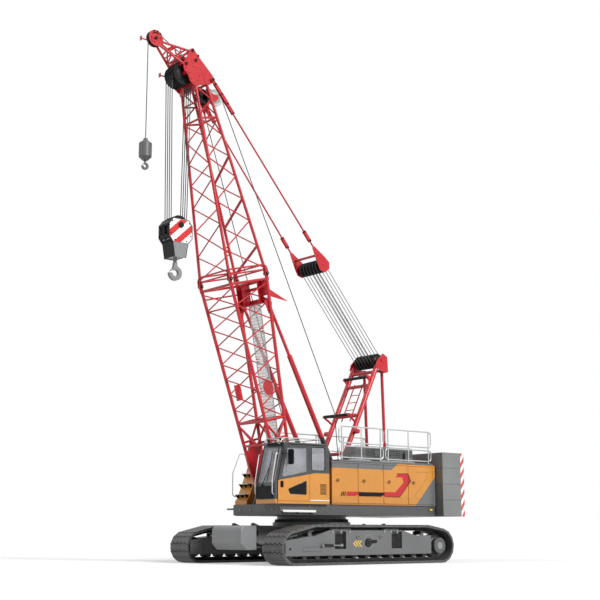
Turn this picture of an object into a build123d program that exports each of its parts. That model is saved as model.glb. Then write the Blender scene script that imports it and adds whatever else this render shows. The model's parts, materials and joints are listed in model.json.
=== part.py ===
from build123d import *
from math import acos, atan2, cos, degrees, hypot, pi, radians, sin
import os

# Crawler crane with a two-part lattice boom, a gantry, a cab at the left front and slab counterweights.
# Frame in millimetres: +X forward, +Y to the crane's left, +Z up, origin on the ground under the
# slewing centre. Boom sizes use boom coordinates: s along the boom from its foot pin, t square to it,
# with t positive on the rear face.

os.makedirs("parts", exist_ok=True)

# Fits and running clearances
seat_gap = 0.3
pin_gap = 0.4
running_gap = 5.0
panel_gap = 9.0
fork_gap = 0.6

# Tracks
track_gauge = 4610.0
shoe_width = 900.0
wheel_base = 5700.0
idler_track_radius = 475.0
sprocket_track_radius = 508.0
track_top = 1120.0
carrier_front_x = 2120.0
carrier_rear_x = -2280.0
shoe_pitch_wanted = 232.0
shoe_gap = 34.0
shoe_groove = 48.0
shoe_thickness = 72.0
track_depth = 172.0
link_width = 300.0
link_overlap = 6.0
carrier_radius = 60.0
lower_roller_radius = 92.0
lower_roller_count = 11
roller_axle_radius = 34.0
idler_width = 230.0
sprocket_width = 240.0
hub_radius = 240.0
hub_face_y = 2665.0

# Track frames
frame_width = 600.0
fork_front_x = 3095.0
frame_rear_x = -2530.0
frame_low_z = 258.0
frame_high_z = 968.0
chain_channel_z = 925.0
chain_channel_half = 180.0
fork_plate = 90.0
roller_channel_top = 400.0
carrier_post_y = 150.0
carrier_post_half_x = 60.0
carrier_post_half_y = 20.0
drive_plate = 60.0
drive_plate_x = -2900.0
drive_plate_low_z = 290.0

# Carbody and its weights
axle_x = 1100.0
axle_length = 410.0
axle_low_z = 440.0
axle_high_z = 920.0
axle_recess = 110.0
axle_side_fit = 6.0
axle_top_fit = 8.0
carbody_half_length = 1560.0
carbody_half_width = 950.0
carbody_top_z = 1200.0
carbody_box_top_z = 1080.0
carbody_corner = 260.0
ring_seat_rim = 90.0
pocket_half_width = 600.0
pocket_top_z = 1020.0
bracket_y = 470.0
bracket_plate = 60.0
tie_eye_radius = 95.0
tie_eye_z = 900.0
tie_eye_back = 190.0
weight_inner_x = 2650.0
weight_outer_x = 3210.0
weight_low_z = 410.0
weight_high_z = 1100.0
weight_half_width = 730.0
weight_top_round = 150.0
weight_low_cut = 200.0
weight_side_round = 40.0

# Slewing ring
ring_outer_radius = 1100.0
ring_inner_radius = 930.0
ring_parting_z = 1300.0
deck_low_z = 1400.0

# Revolving deck
deck_plate = 80.0
deck_top_z = 1710.0
deck_half_width = 1560.0
deck_front_x = 2450.0
deck_far_front_x = 1740.0
deck_rear_x = -3780.0
deck_step_y = -700.0
deck_skirt = 40.0
girder_y = 560.0
girder_thickness = 60.0
girder_front_gap = 250.0
web_places = [1500.0, 450.0, -900.0, -2500.0]
foot_lug_plate = 50.0
foot_lug_half_base = 420.0
gantry_lug_spread = 110.0
gantry_lug_plate = 30.0
post_plate = 40.0
post_pin_radius = 32.0
rod_lug_spread = 70.0
rod_lug_plate = 24.0
slab_arm_y = 500.0
slab_arm_half = 110.0
slab_arm_reach = 560.0

# Boom foot and boom
foot_x = 1415.0
foot_z = 2085.0
boom_angle = 75.46
boom_joint_s = 6500.0
foot_half_depth = 200.0
foot_half_width = 630.0
joint_half_depth = 692.0
joint_half_width = 754.0
tip_s = 11420.0
tip_half_depth = 256.0
tip_half_width = 430.0
chord_radius = 66.0
lacing_radius = 29.0
frame_tube_radius = 42.0
foot_eye_radius = 165.0
foot_eye_thickness = 90.0
foot_pin_radius = 55.0
base_first_s = 900.0
base_last_s = 6350.0
base_bays = 10
tip_first_s = 6650.0
tip_last_s = 11380.0
tip_bays = 7
lug_thickness = 50.0
lug_half_height = 60.0
joint_cheek = 34.0
joint_pin_radius = 28.0
joint_pin_half = 78.0
head_plate = 36.0
head_hole_s = 12000.0
head_hole_radius = 150.0
head_pin_radius = 32.0
head_tube_radius = 45.0
head_sheave_s = 12830.0
head_sheave_t = -530.0
head_sheave_radius = 340.0
head_sheave_count = 5
head_sheave_pitch = 110.0
head_shaft_radius = 55.0
pendant_pin_s = 12560.0
pendant_pin_t = 340.0
jib_pin_s = 13480.0
jib_pin_t = -170.0
jib_low_s = 13080.0
jib_low_t = -500.0
jib_y = 360.0
jib_boss_radius = 62.0
jib_boss_half = 32.0
jib_tie_radius = 28.0
jib_chord_radius = 32.0
jib_brace_radius = 18.0
jib_cheek = 22.0
tip_sheave_s = 13977.0
tip_sheave_t = -1132.0
tip_sheave_radius = 250.0
tip_sheave_width = 70.0
tip_shaft_radius = 40.0
guide_sheave_s = 12125.0
guide_sheave_t = 671.0
guide_sheave_radius = 270.0
guide_sheave_width = 76.0
guide_bracket_y = 90.0
guide_bracket_plate = 24.0

# Bars with end plates, ahead of the boom head and the jib
end_bar_length = 350.0
end_bar_radius = 20.0
end_plate_height = 130.0

# Gantry and stays
gantry_head_x = -2450.0
gantry_head_z = 6370.0
gantry_leg_foot_x = -330.0
gantry_leg_foot_z = 2080.0
gantry_leg_y = 550.0
gantry_leg_radius = 80.0
gantry_plate_y = 620.0
gantry_plate = 40.0
gantry_rod_x = -2780.0
gantry_rod_y = 420.0
gantry_rod_radius = 50.0
gantry_rod_foot_z = 1960.0
gantry_tie_x = -2640.0
gantry_tie_z = 6060.0
gantry_tie_radius = 45.0
gantry_cross_radius = 55.0
upper_roller_share = 0.885
upper_roller_forward = 190.0
lower_roller_x = -1030.0
lower_roller_z = 4530.0
guide_roller_radius = 45.0
roller_bracket_plate = 24.0
roller_arm_share = 0.535
roller_arm_spread = 0.07
roller_arm_radius = 34.0
gantry_boss_share = 0.47
gantry_boss_radius = 75.0
gantry_boss_length = 240.0
ladder_y = 200.0
ladder_low_share = 0.56
ladder_high_share = 0.86
ladder_rungs = 5
ladder_radius = 20.0
rung_radius = 14.0
gantry_sheave_radius = 230.0
gantry_shaft_radius = 50.0
stay_groove_count = 6
stay_groove_pitch = 150.0
floating_share = 0.36
floating_half_width = 560.0
floating_plate = 40.0
floating_sheave_radius = 220.0
floating_sheave_back = 60.0
floating_tube_ahead = 330.0
floating_tube_radius = 40.0
floating_nose = 620.0
pendant_radius = 26.0
pendant_eye = 2 * pendant_radius

# Backstops
backstop_foot_x = -358.0
backstop_foot_z = 2900.0
backstop_y = 600.0
backstop_boom_s = 5590.0
backstop_boom_t = 691.0
backstop_lug_plate = 30.0
mesh_low_s = 1300.0
mesh_high_s = 5300.0
walkway_half_width = 250.0
walkway_mesh = 30.0
backstop_tube_radius = 76.0
backstop_rod_radius = 48.0
backstop_bore_gap = 0.8
backstop_tube_length = 3700.0
backstop_rod_length = 3250.0
backstop_eye_radius = 62.0
backstop_boss_radius = 85.0

# Cab
cab_rear_x = 720.0
cab_front_x = 2730.0
cab_low_z = deck_top_z
cab_sill_z = 2230.0
cab_top_z = 3460.0
cab_right_y = 775.0
cab_left_y = 1690.0
cab_wall = 50.0
door_rear_x = 1470.0
door_low_z = 1790.0
door_high_z = 3350.0
door_front_margin = 95.0
door_thickness = 45.0
glass = 8.0
vent_x = 955.0
vent_z = 2132.0
vent_length = 210.0
vent_slots = 7
vent_pitch = 42.0
visor_reach = 190.0
visor_thickness = 22.0

# Door hinges
hinge_radius = 11.0
hinge_pin_radius = 6.0
hinge_height = 70.0
hinge_leaf = 6.0
hinge_out = 12.0
hinge_side = 7.0

# Houses on the deck
house_front_x = 550.0
house_top_z = 2990.0
house_outer_y = 1600.0
house_inner_y = 760.0
house_wall = 50.0
house_low_z = deck_top_z
house_seams = [545.0, -500.0, -1550.0, -2600.0, -3700.0]
house_door_low_z = 1760.0
house_door_high_z = 2930.0
house_door_thickness = 40.0
hood_front_x = -590.0
hood_rear_x = -3160.0
hood_top_z = 3520.0
hood_outer_y = 1240.0
hood_slope_z = 3180.0
hood_slope_run = 210.0
grille_x = (-2600.0, -1170.0)
grille_z = (3070.0, 3440.0)
grille_recess = 8.0
grille_columns = 16
grille_rows = 4
grille_hole_radius = 26.0
keyhole_x = -2770.0
keyhole_radius = 55.0
step_box_rear_x = 1180.0
step_box_top_z = 2940.0
step_box_inner_y = -1000.0
step_low_z = 1830.0
step_rise = 370.0
step_opening = 250.0
step_depth_x = 1400.0

# Walkways and handrails on the roofs
walkway_front_x = 260.0
walkway_rear_x = -3720.0
walkway_plate = 50.0
rail_y = 1540.0
rail_top_z = 4060.0
rail_split_z = 3550.0
rail_low_z = 3110.0
rail_radius = 20.0
rail_corner = 110.0
rail_panels = [(200.0, -1600.0), (-1700.0, -3680.0)]

# Counterweight
slab_front_x = -3830.0
slab_corner_x = -4640.0
slab_rear_x = -4920.0
slab_half_width = 1900.0
slab_corner_in = 105.0
slab_edge_cut = 14.0
slab_count = 4
slab_height = 500.0

# Hoist drums, as (x, drum radius, width)
drum_table = [(100.0, 290.0, 760.0), (-1450.0, 290.0, 760.0), (-2150.0, 240.0, 620.0)]
drum_centre_z = 2180.0
drum_flange = 110.0
drum_flange_width = 40.0

# Hook blocks
main_hook_top_z = 10000.0
hook_sheave_radius = 300.0
hook_sheave_count = 4
hook_cheek_y = 255.0
hook_cheek_plate = 32.0
hook_shaft_radius = 50.0
hook_shank_radius = 55.0
main_bend_z = 8300.0
aux_hook_top_z = 12170.0
aux_bend_z = 11330.0


boom_dir = Vector(cos(radians(boom_angle)), 0, sin(radians(boom_angle)))
boom_up = Vector(-sin(radians(boom_angle)), 0, cos(radians(boom_angle)))
foot_point = Vector(foot_x, 0, foot_z)


def boom_point(s, t, y):
    """Place of a boom point in the crane's frame."""
    return foot_point + boom_dir * s + boom_up * t + Vector(0, y, 0)


def boom_plane(y):
    """Upright plane along the boom: local x is s and local y is t, with its normal to the right."""
    return Plane(origin=foot_point + Vector(0, y, 0), x_dir=boom_dir, z_dir=(0, -1, 0))


def side_plane(y):
    """Upright plane along the crane: local x is X and local y is Z, with its normal to the right."""
    return Plane.XZ.offset(-y)


def rod(start, end, radius):
    """Add a round rod between two points."""
    axis = Vector(end) - Vector(start)
    with BuildSketch(Plane(origin=start, z_dir=axis)) as section:
        Circle(radius)
    extrude(section.sketch, amount=axis.length)


def plate(plane, outline, thickness, holes=()):
    """Add a flat plate, centred on its plane, with round holes given as (x, y, radius)."""
    with BuildSketch(plane) as face:
        with BuildLine():
            Polyline(*outline, close=True)
        make_face()
        for x, y, radius in holes:
            with Locations((x, y)):
                Circle(radius, mode=Mode.SUBTRACT)
    extrude(face.sketch, amount=thickness / 2, both=True)


def block(x_range, y_range, z_range, mode=Mode.ADD):
    """Add or cut a straight block given by its two corners."""
    with BuildSketch(Plane.XY.offset(z_range[0])) as face:
        with Locations(((x_range[0] + x_range[1]) / 2, (y_range[0] + y_range[1]) / 2)):
            Rectangle(abs(x_range[1] - x_range[0]), abs(y_range[1] - y_range[0]))
    extrude(face.sketch, amount=z_range[1] - z_range[0], mode=mode)


def pulley(centre, radius, bore, grooves, pitch):
    """Add grooved wheels on one hub that turn about a shaft along Y."""
    half = grooves * pitch / 2
    rim = pitch * 0.38
    groove_radius = radius * 0.84
    hub_radius = radius * 0.68
    points = [(bore, -half), (bore, half), (bore * 1.8, half)]
    for index in reversed(range(grooves)):
        middle = (index + 0.5) * pitch - half
        points += [(hub_radius, middle + rim * 0.8), (radius, middle + rim), (groove_radius, middle)]
        points += [(radius, middle - rim), (hub_radius, middle - rim * 0.8)]
    points.append((bore * 1.8, -half))
    with BuildSketch(Plane(origin=centre, x_dir=(1, 0, 0), z_dir=(0, 0, 1))) as face:
        with BuildLine():
            Polyline(*points, close=True)
        make_face()
    revolve(face.sketch, axis=Axis(centre, (0, 1, 0)), revolution_arc=360)


def tube_loop(low, high, y, radius, corner_radius):
    """Add a closed tube round an upright rectangle given by its low and high (x, z) corners."""
    with BuildLine(side_plane(y)) as path:
        FilletPolyline(low, (high[0], low[1]), high, (low[0], high[1]), radius=corner_radius, close=True)
    with BuildSketch(Plane(origin=path.line @ 0, z_dir=path.line % 0)) as section:
        Circle(radius)
    sweep(section.sketch, path=path.line)


def hinge_fixed(seam_x, face_y, z, root_y):
    """Add the fixed half of a door hinge: a leaf through the seam, a lower knuckle and the pin."""
    x = seam_x + hinge_side
    y = face_y + hinge_out
    block((seam_x - hinge_leaf / 2, seam_x + hinge_leaf / 2), (root_y, y), (z, z + hinge_height))
    rod((x, y, z), (x, y, z + hinge_height), hinge_radius)
    rod((x, y, z), (x, y, z + 2 * hinge_height), hinge_pin_radius)


def hinge_moving(seam_x, face_y, z):
    """Add the door's half of a hinge, above the fixed knuckle."""
    x = seam_x + hinge_side
    y = face_y + hinge_out
    low = z + hinge_height + fork_gap
    high = low + hinge_height - 10
    rod((x, y, low), (x, y, high), hinge_radius)
    block((x, x + 90), (face_y - 5, face_y + 7), (low, high))
    with BuildSketch(Plane.XY.offset(low - 1)) as bore:
        with Locations((x, y)):
            Circle(hinge_pin_radius + pin_gap)
    extrude(bore.sketch, amount=hinge_height + 10, mode=Mode.SUBTRACT)


def finish(builder, name):
    """Name a finished piece and write it."""
    builder.part.label = name
    export_step(builder.part, f"parts/{name}.step")


# Track loop: a belt round four wheels, given as (x, z, radius to the ground side of the shoes)
carrier_track_radius = carrier_radius + track_depth
wheels = [
    (-wheel_base / 2, sprocket_track_radius, sprocket_track_radius),
    (wheel_base / 2, idler_track_radius, idler_track_radius),
    (carrier_front_x, track_top - carrier_track_radius, carrier_track_radius),
    (carrier_rear_x, track_top - carrier_track_radius, carrier_track_radius),
]


def run_normal(index):
    """Angle of the outward normal on the straight run that leaves a wheel."""
    x0, z0, r0 = wheels[index]
    x1, z1, r1 = wheels[(index + 1) % len(wheels)]
    return atan2(z1 - z0, x1 - x0) - acos((r0 - r1) / hypot(x1 - x0, z1 - z0))


def wheel_point(index, angle, depth):
    """Point of the belt at an angle on a wheel, at a depth below the shoes' ground side."""
    x, z, radius = wheels[index]
    return (x + (radius - depth) * cos(angle), z + (radius - depth) * sin(angle))


# Each stretch of the belt: (length, wheel index, first angle, turn); a straight run has no turn
stretches = []
for index in range(len(wheels)):
    arrive = run_normal(index - 1)
    leave = run_normal(index)
    turn = (leave - arrive) % (2 * pi)
    next_index = (index + 1) % len(wheels)
    start = wheel_point(index, leave, 0)
    end = wheel_point(next_index, leave, 0)
    stretches.append((wheels[index][2] * turn, index, arrive, turn))
    stretches.append((hypot(end[0] - start[0], end[1] - start[1]), index, leave, 0))
belt_length = sum(stretch[0] for stretch in stretches)
shoe_count = round(belt_length / shoe_pitch_wanted)
shoe_pitch = belt_length / shoe_count


def belt_point(distance, depth):
    """Point of the belt at a distance round it and a depth below the shoes' ground side."""
    left = distance % belt_length
    for length, index, angle, turn in stretches:
        if left > length:
            left -= length
            continue
        if turn:
            return wheel_point(index, angle + turn * left / length, depth)
        x, z = wheel_point(index, angle, depth)
        return (x - sin(angle) * left, z + cos(angle) * left)
    return wheel_point(0, stretches[0][2], depth)


def belt_outline(depth):
    """Draw the smooth outline of the belt at a depth, as lines and arcs, in a line builder."""
    for index in range(len(wheels)):
        x, z, radius = wheels[index]
        arrive = run_normal(index - 1)
        leave = run_normal(index)
        turn = (leave - arrive) % (2 * pi)
        CenterArc((x, z), radius - depth, degrees(arrive), degrees(turn))
        Line(wheel_point(index, leave, depth), wheel_point((index + 1) % len(wheels), leave, depth))


shoe_outline = []
for index in range(shoe_count):
    near = index * shoe_pitch + shoe_gap / 2
    far = (index + 1) * shoe_pitch - shoe_gap / 2
    shoe_outline += [belt_point(near, shoe_groove), belt_point(near, 0)]
    shoe_outline += [belt_point(far, 0), belt_point(far, shoe_groove)]

for side, side_y in (("left", track_gauge / 2), ("right", -track_gauge / 2)):
    with BuildPart() as track:
        with BuildSketch(side_plane(side_y)):
            with BuildLine():
                Polyline(*shoe_outline, close=True)
            make_face()
            with BuildLine():
                belt_outline(shoe_thickness)
            make_face(mode=Mode.SUBTRACT)
        extrude(amount=shoe_width / 2, both=True)
        with BuildSketch(side_plane(side_y)):
            with BuildLine():
                belt_outline(shoe_thickness - link_overlap)
            make_face()
            with BuildLine():
                belt_outline(track_depth)
            make_face(mode=Mode.SUBTRACT)
        extrude(amount=link_width / 2, both=True)
    finish(track, f"track_{side}")

# Track frames: a box beam with an idler fork in front, a roller channel below and two axle windows
frame_outline = [
    (fork_front_x, frame_low_z),
    (fork_front_x, 677),
    (2193, 795),
    (2050, 795),
    (1500, frame_high_z),
    (-1305, frame_high_z),
    (-1519, 912),
    (-1869, 815),
    (frame_rear_x, 815),
    (frame_rear_x, frame_low_z + 22),
]
fork_inner = frame_width - 2 * fork_plate
idler_x = wheel_base / 2
idler_radius = idler_track_radius - track_depth - seat_gap
sprocket_radius = sprocket_track_radius - track_depth - seat_gap
idler_slot_x = idler_x - idler_radius - 60
roller_z = track_depth + seat_gap + lower_roller_radius

for side, side_y in (("left", track_gauge / 2), ("right", -track_gauge / 2)):
    outward = 1 if side_y > 0 else -1
    with BuildPart() as track_frame:
        plate(side_plane(side_y), frame_outline, frame_width)
        fork_y = (side_y - fork_inner / 2, side_y + fork_inner / 2)
        block((idler_slot_x, fork_front_x + 10), fork_y, (0, 1000), mode=Mode.SUBTRACT)
        block((frame_rear_x - 10, fork_front_x), fork_y, (0, roller_channel_top), mode=Mode.SUBTRACT)
        block((frame_rear_x - 10, -idler_x + sprocket_radius + 30), fork_y, (0, 1000), mode=Mode.SUBTRACT)
        block((-1750, 1650), (side_y - chain_channel_half, side_y + chain_channel_half),
              (chain_channel_z, frame_high_z + 10), mode=Mode.SUBTRACT)
        for x in (axle_x, -axle_x):
            half = axle_length / 2 + axle_side_fit
            block((x - half, x + half), (side_y - frame_width, side_y + frame_width),
                  (axle_low_z, axle_high_z + axle_top_fit), mode=Mode.SUBTRACT)
        # Carrier roller posts on the frame's top, and the plate that carries the final drive
        for x in (carrier_front_x, carrier_rear_x):
            post_z = track_top - carrier_track_radius
            for y in (side_y - carrier_post_y, side_y + carrier_post_y):
                block((x - carrier_post_half_x, x + carrier_post_half_x),
                      (y - carrier_post_half_y, y + carrier_post_half_y), (700, post_z + 45))
        drive_y = side_y - outward * (frame_width / 2 - drive_plate / 2)
        drive = [(frame_rear_x + 300, drive_plate_low_z), (frame_rear_x + 300, 800), (drive_plate_x, 760),
                 (drive_plate_x - 160, 640), (drive_plate_x - 190, sprocket_track_radius),
                 (drive_plate_x - 160, 370), (drive_plate_x, drive_plate_low_z)]
        plate(side_plane(drive_y), drive, drive_plate)
    finish(track_frame, f"track_frame_{side}")

# Idlers, sprockets and rollers: one node each for both sides
with BuildPart() as idlers:
    for side_y in (track_gauge / 2, -track_gauge / 2):
        centre = (idler_x, side_y, idler_track_radius)
        half = idler_width / 2
        rim = [(0, -fork_inner / 2), (75, -fork_inner / 2), (75, -half), (150, -half), (150, -half + 50),
               (idler_radius - 70, -half + 50), (idler_radius - 70, -half), (idler_radius, -half)]
        with BuildSketch(Plane(origin=centre, x_dir=(1, 0, 0), z_dir=(0, 0, 1))):
            with BuildLine():
                Polyline(*rim, *[(x, -y) for x, y in reversed(rim)], close=True)
            make_face()
        revolve(axis=Axis(centre, (0, 1, 0)), revolution_arc=360)
finish(idlers, "idlers")

with BuildPart() as sprockets:
    for side_y in (track_gauge / 2, -track_gauge / 2):
        outward = 1 if side_y > 0 else -1
        centre = (-idler_x, side_y, sprocket_track_radius)
        hub_end = hub_face_y - track_gauge / 2
        inner_end = -(frame_width / 2 - 60)
        half = sprocket_width / 2
        hub = [(0, inner_end), (200, inner_end), (200, -half), (sprocket_radius, -half),
               (sprocket_radius, half), (hub_radius + 20, half), (hub_radius + 20, half + 60), (hub_radius, half + 70),
               (hub_radius, hub_end - 15), (hub_radius - 15, hub_end), (0, hub_end)]
        with BuildSketch(Plane(origin=centre, x_dir=(1, 0, 0), z_dir=(0, 0, 1))):
            with BuildLine():
                Polyline(*[(x, outward * y) for x, y in hub], close=True)
            make_face()
        revolve(axis=Axis(centre, (0, 1, 0)), revolution_arc=360)
finish(sprockets, "sprockets")

with BuildPart() as rollers:
    first_x = idler_x - idler_radius - lower_roller_radius - 130
    last_x = -idler_x + sprocket_radius + lower_roller_radius + 60
    spacing = (first_x - last_x) / (lower_roller_count - 1)
    for side_y in (track_gauge / 2, -track_gauge / 2):
        for index in range(lower_roller_count):
            centre = (first_x - index * spacing, side_y, roller_z)
            half = fork_inner / 2 - 25
            shape = [(0, -fork_inner / 2), (roller_axle_radius, -fork_inner / 2), (roller_axle_radius, -half),
                     (lower_roller_radius, -half), (lower_roller_radius, half), (roller_axle_radius, half),
                     (roller_axle_radius, fork_inner / 2), (0, fork_inner / 2)]
            with BuildSketch(Plane(origin=centre, x_dir=(1, 0, 0), z_dir=(0, 0, 1))):
                with BuildLine():
                    Polyline(*shape, close=True)
                make_face()
            revolve(axis=Axis(centre, (0, 1, 0)), revolution_arc=360)
        for x in (carrier_front_x, carrier_rear_x):
            centre_z = track_top - carrier_track_radius
            rod((x, side_y - 130, centre_z), (x, side_y + 130, centre_z), carrier_radius - seat_gap)
finish(rollers, "rollers")

# Carbody: centre box, two axles through the track frames, the ring seat and the weight brackets
with BuildPart() as carbody:
    with BuildSketch(Plane.XY.offset(axle_low_z)):
        Rectangle(2 * carbody_half_length, 2 * carbody_half_width)
        chamfer(vertices(), carbody_corner)
    extrude(amount=carbody_box_top_z - axle_low_z)
    axle_half_span = track_gauge / 2 + frame_width / 2 - axle_recess
    for x in (axle_x, -axle_x):
        block((x - axle_length / 2, x + axle_length / 2), (-axle_half_span, axle_half_span),
              (axle_low_z, axle_high_z))
    for x_range in ((-axle_x + 260, axle_x - 260), (axle_x + 230, carbody_half_length - 60),
                    (60 - carbody_half_length, -axle_x - 230)):
        block(x_range, (-pocket_half_width, pocket_half_width), (axle_low_z, pocket_top_z),
              mode=Mode.SUBTRACT)
    with BuildSketch(Plane.XY.offset(carbody_box_top_z)):
        Circle(ring_outer_radius + ring_seat_rim)
    extrude(amount=carbody_top_z - carbody_box_top_z)
    for sign in (1, -1):
        arm = [(sign * 1400, 470), (sign * 1400, 1060), (sign * (weight_inner_x - 380), 1060),
               (sign * (weight_inner_x - 60), 1180), (sign * weight_inner_x, 1160),
               (sign * weight_inner_x, 700), (sign * (weight_inner_x - 370), 560)]
        eye = (sign * (weight_inner_x - tie_eye_back), tie_eye_z, tie_eye_radius)
        for y in (bracket_y, -bracket_y):
            plate(side_plane(y), arm, bracket_plate, [eye])
finish(carbody, "carbody")

for name, sign in (("front", 1), ("rear", -1)):
    with BuildPart() as weight:
        block((sign * weight_inner_x, sign * weight_outer_x), (-weight_half_width, weight_half_width),
              (weight_low_z, weight_high_z))
        outer = weight.edges().filter_by(Axis.Y).group_by(Axis.X)[-1 if sign > 0 else 0]
        fillet(outer.sort_by(Axis.Z)[-1], weight_top_round)
        low = weight.edges().filter_by(Axis.Y).group_by(Axis.X)[-1 if sign > 0 else 0].sort_by(Axis.Z)[0]
        chamfer(low, weight_low_cut)
        fillet(weight.edges().filter_by(Axis.Z), weight_side_round)
    finish(weight, f"carbody_weight_{name}")

# Slewing ring: a fixed toothed lower ring and an upper ring that turns with the deck
with BuildPart() as lower_ring:
    with BuildSketch(Plane.XY.offset(carbody_top_z)):
        Circle(ring_outer_radius)
        Circle(ring_inner_radius, mode=Mode.SUBTRACT)
    extrude(amount=ring_parting_z - carbody_top_z)
finish(lower_ring, "slew_ring_lower")

with BuildPart() as upper_ring:
    with BuildSketch(Plane.XY.offset(ring_parting_z + fork_gap)):
        Circle(ring_outer_radius - 40)
        Circle(ring_inner_radius, mode=Mode.SUBTRACT)
    extrude(amount=deck_low_z - ring_parting_z - fork_gap)
finish(upper_ring, "slew_ring_upper")

# Revolving deck: bottom plate, two long girders, cross webs, side skirts and the boom foot lugs
foot_lug_gap = foot_eye_thickness / 2 + running_gap
with BuildPart() as deck:
    with BuildSketch(Plane.XY.offset(deck_low_z)):
        with BuildLine():
            Polyline(
                (deck_rear_x, -deck_half_width), (deck_far_front_x, -deck_half_width),
                (deck_far_front_x, deck_step_y), (deck_front_x, deck_step_y), (deck_front_x, deck_half_width),
                (deck_rear_x, deck_half_width), close=True)
        make_face()
    extrude(amount=deck_plate)
    for y in (girder_y, -girder_y):
        block((deck_rear_x, deck_front_x - girder_front_gap),
              (y - girder_thickness / 2, y + girder_thickness / 2), (deck_low_z, deck_top_z))
    skirt_y = deck_half_width - deck_skirt
    block((deck_rear_x, deck_front_x), (skirt_y, deck_half_width), (deck_low_z, deck_top_z))
    block((deck_rear_x, deck_far_front_x), (-deck_half_width, -skirt_y), (deck_low_z, deck_top_z))
    for x in (deck_front_x - deck_skirt / 2, *web_places, deck_rear_x + deck_skirt / 2):
        low_y = -deck_half_width if x < deck_far_front_x else deck_step_y
        block((x - deck_skirt / 2, x + deck_skirt / 2), (low_y, deck_half_width), (deck_low_z, deck_top_z))
    # Boom foot lugs, a pair on each side of each foot eye, with the foot pins
    lug = [(foot_x - foot_lug_half_base, deck_low_z), (foot_x + foot_lug_half_base, deck_low_z),
           (foot_x + 190, foot_z - 60), (foot_x + 110, foot_z + 130), (foot_x - 110, foot_z + 130),
           (foot_x - 190, foot_z - 60)]
    for side_y in (foot_half_width, -foot_half_width):
        for sign in (1, -1):
            plate(side_plane(side_y + sign * (foot_lug_gap + foot_lug_plate / 2)), lug, foot_lug_plate)
        reach = foot_lug_gap + foot_lug_plate + 20
        rod((foot_x, side_y - reach, foot_z), (foot_x, side_y + reach, foot_z), foot_pin_radius)
    # Gantry leg lugs, rear rod lugs and backstop posts
    for side_y in (gantry_leg_y, -gantry_leg_y):
        outline = [(gantry_leg_foot_x - 260, deck_low_z), (gantry_leg_foot_x + 200, deck_low_z),
                   (gantry_leg_foot_x + 90, gantry_leg_foot_z + 70),
                   (gantry_leg_foot_x - 110, gantry_leg_foot_z + 70)]
        for y in (side_y - gantry_lug_spread, side_y + gantry_lug_spread):
            plate(side_plane(y), outline, gantry_lug_plate)
    for side_y in (backstop_y, -backstop_y):
        outward = 1 if side_y > 0 else -1
        post_y = side_y + outward * (backstop_tube_radius + 45)
        outline = [(backstop_foot_x - 330, deck_low_z), (backstop_foot_x + 420, deck_low_z),
                   (backstop_foot_x + 110, backstop_foot_z + 90),
                   (backstop_foot_x - 90, backstop_foot_z + 90)]
        plate(side_plane(post_y), outline, post_plate)
        rod((backstop_foot_x, post_y, backstop_foot_z),
            (backstop_foot_x, side_y - outward * 60, backstop_foot_z), post_pin_radius)
    for side_y in (gantry_rod_y, -gantry_rod_y):
        for y in (side_y - rod_lug_spread, side_y + rod_lug_spread):
            plate(side_plane(y), [(gantry_rod_x - 160, deck_low_z), (gantry_rod_x + 160, deck_low_z),
                                  (gantry_rod_x + 70, gantry_rod_foot_z + 60),
                                  (gantry_rod_x - 70, gantry_rod_foot_z + 60)], rod_lug_plate)
    # Arms that carry the lowest slab
    for y in (slab_arm_y, -slab_arm_y):
        block((slab_front_x - slab_arm_reach, deck_rear_x + 60), (y - slab_arm_half, y + slab_arm_half),
              (deck_low_z, deck_low_z + slab_arm_half))
finish(deck, "deck")

# Boom sections
def half_depth(s):
    """Half depth between chord centres at a place along the boom."""
    if s <= boom_joint_s:
        return foot_half_depth + (joint_half_depth - foot_half_depth) * s / boom_joint_s
    share = (s - boom_joint_s) / (tip_s - boom_joint_s)
    return joint_half_depth + (tip_half_depth - joint_half_depth) * share


def half_width(s):
    """Half width between chord centres at a place along the boom."""
    if s <= boom_joint_s:
        return foot_half_width + (joint_half_width - foot_half_width) * s / boom_joint_s
    share = (s - boom_joint_s) / (tip_s - boom_joint_s)
    return joint_half_width + (tip_half_width - joint_half_width) * share


# The four chords in order round the section: (side of the depth, side of the width)
corners = [(-1, -1), (-1, 1), (1, 1), (1, -1)]


def corner(index, s):
    """Centre of a chord at a place along the boom."""
    depth_side, width_side = corners[index % 4]
    return boom_point(s, depth_side * half_depth(s), width_side * half_width(s))


def lattice(first_s, last_s, bays, end_frames):
    """Add the zigzag lacings of the four faces, and square end frames."""
    step = (last_s - first_s) / bays
    for face in range(4):
        for bay in range(bays):
            flip = (bay + face) % 2
            near_s = first_s + bay * step
            rod(corner(face + flip, near_s), corner(face + 1 - flip, near_s + step), lacing_radius)
    for s in end_frames:
        for face in range(4):
            rod(corner(face, s), corner(face + 1, s), frame_tube_radius)


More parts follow.
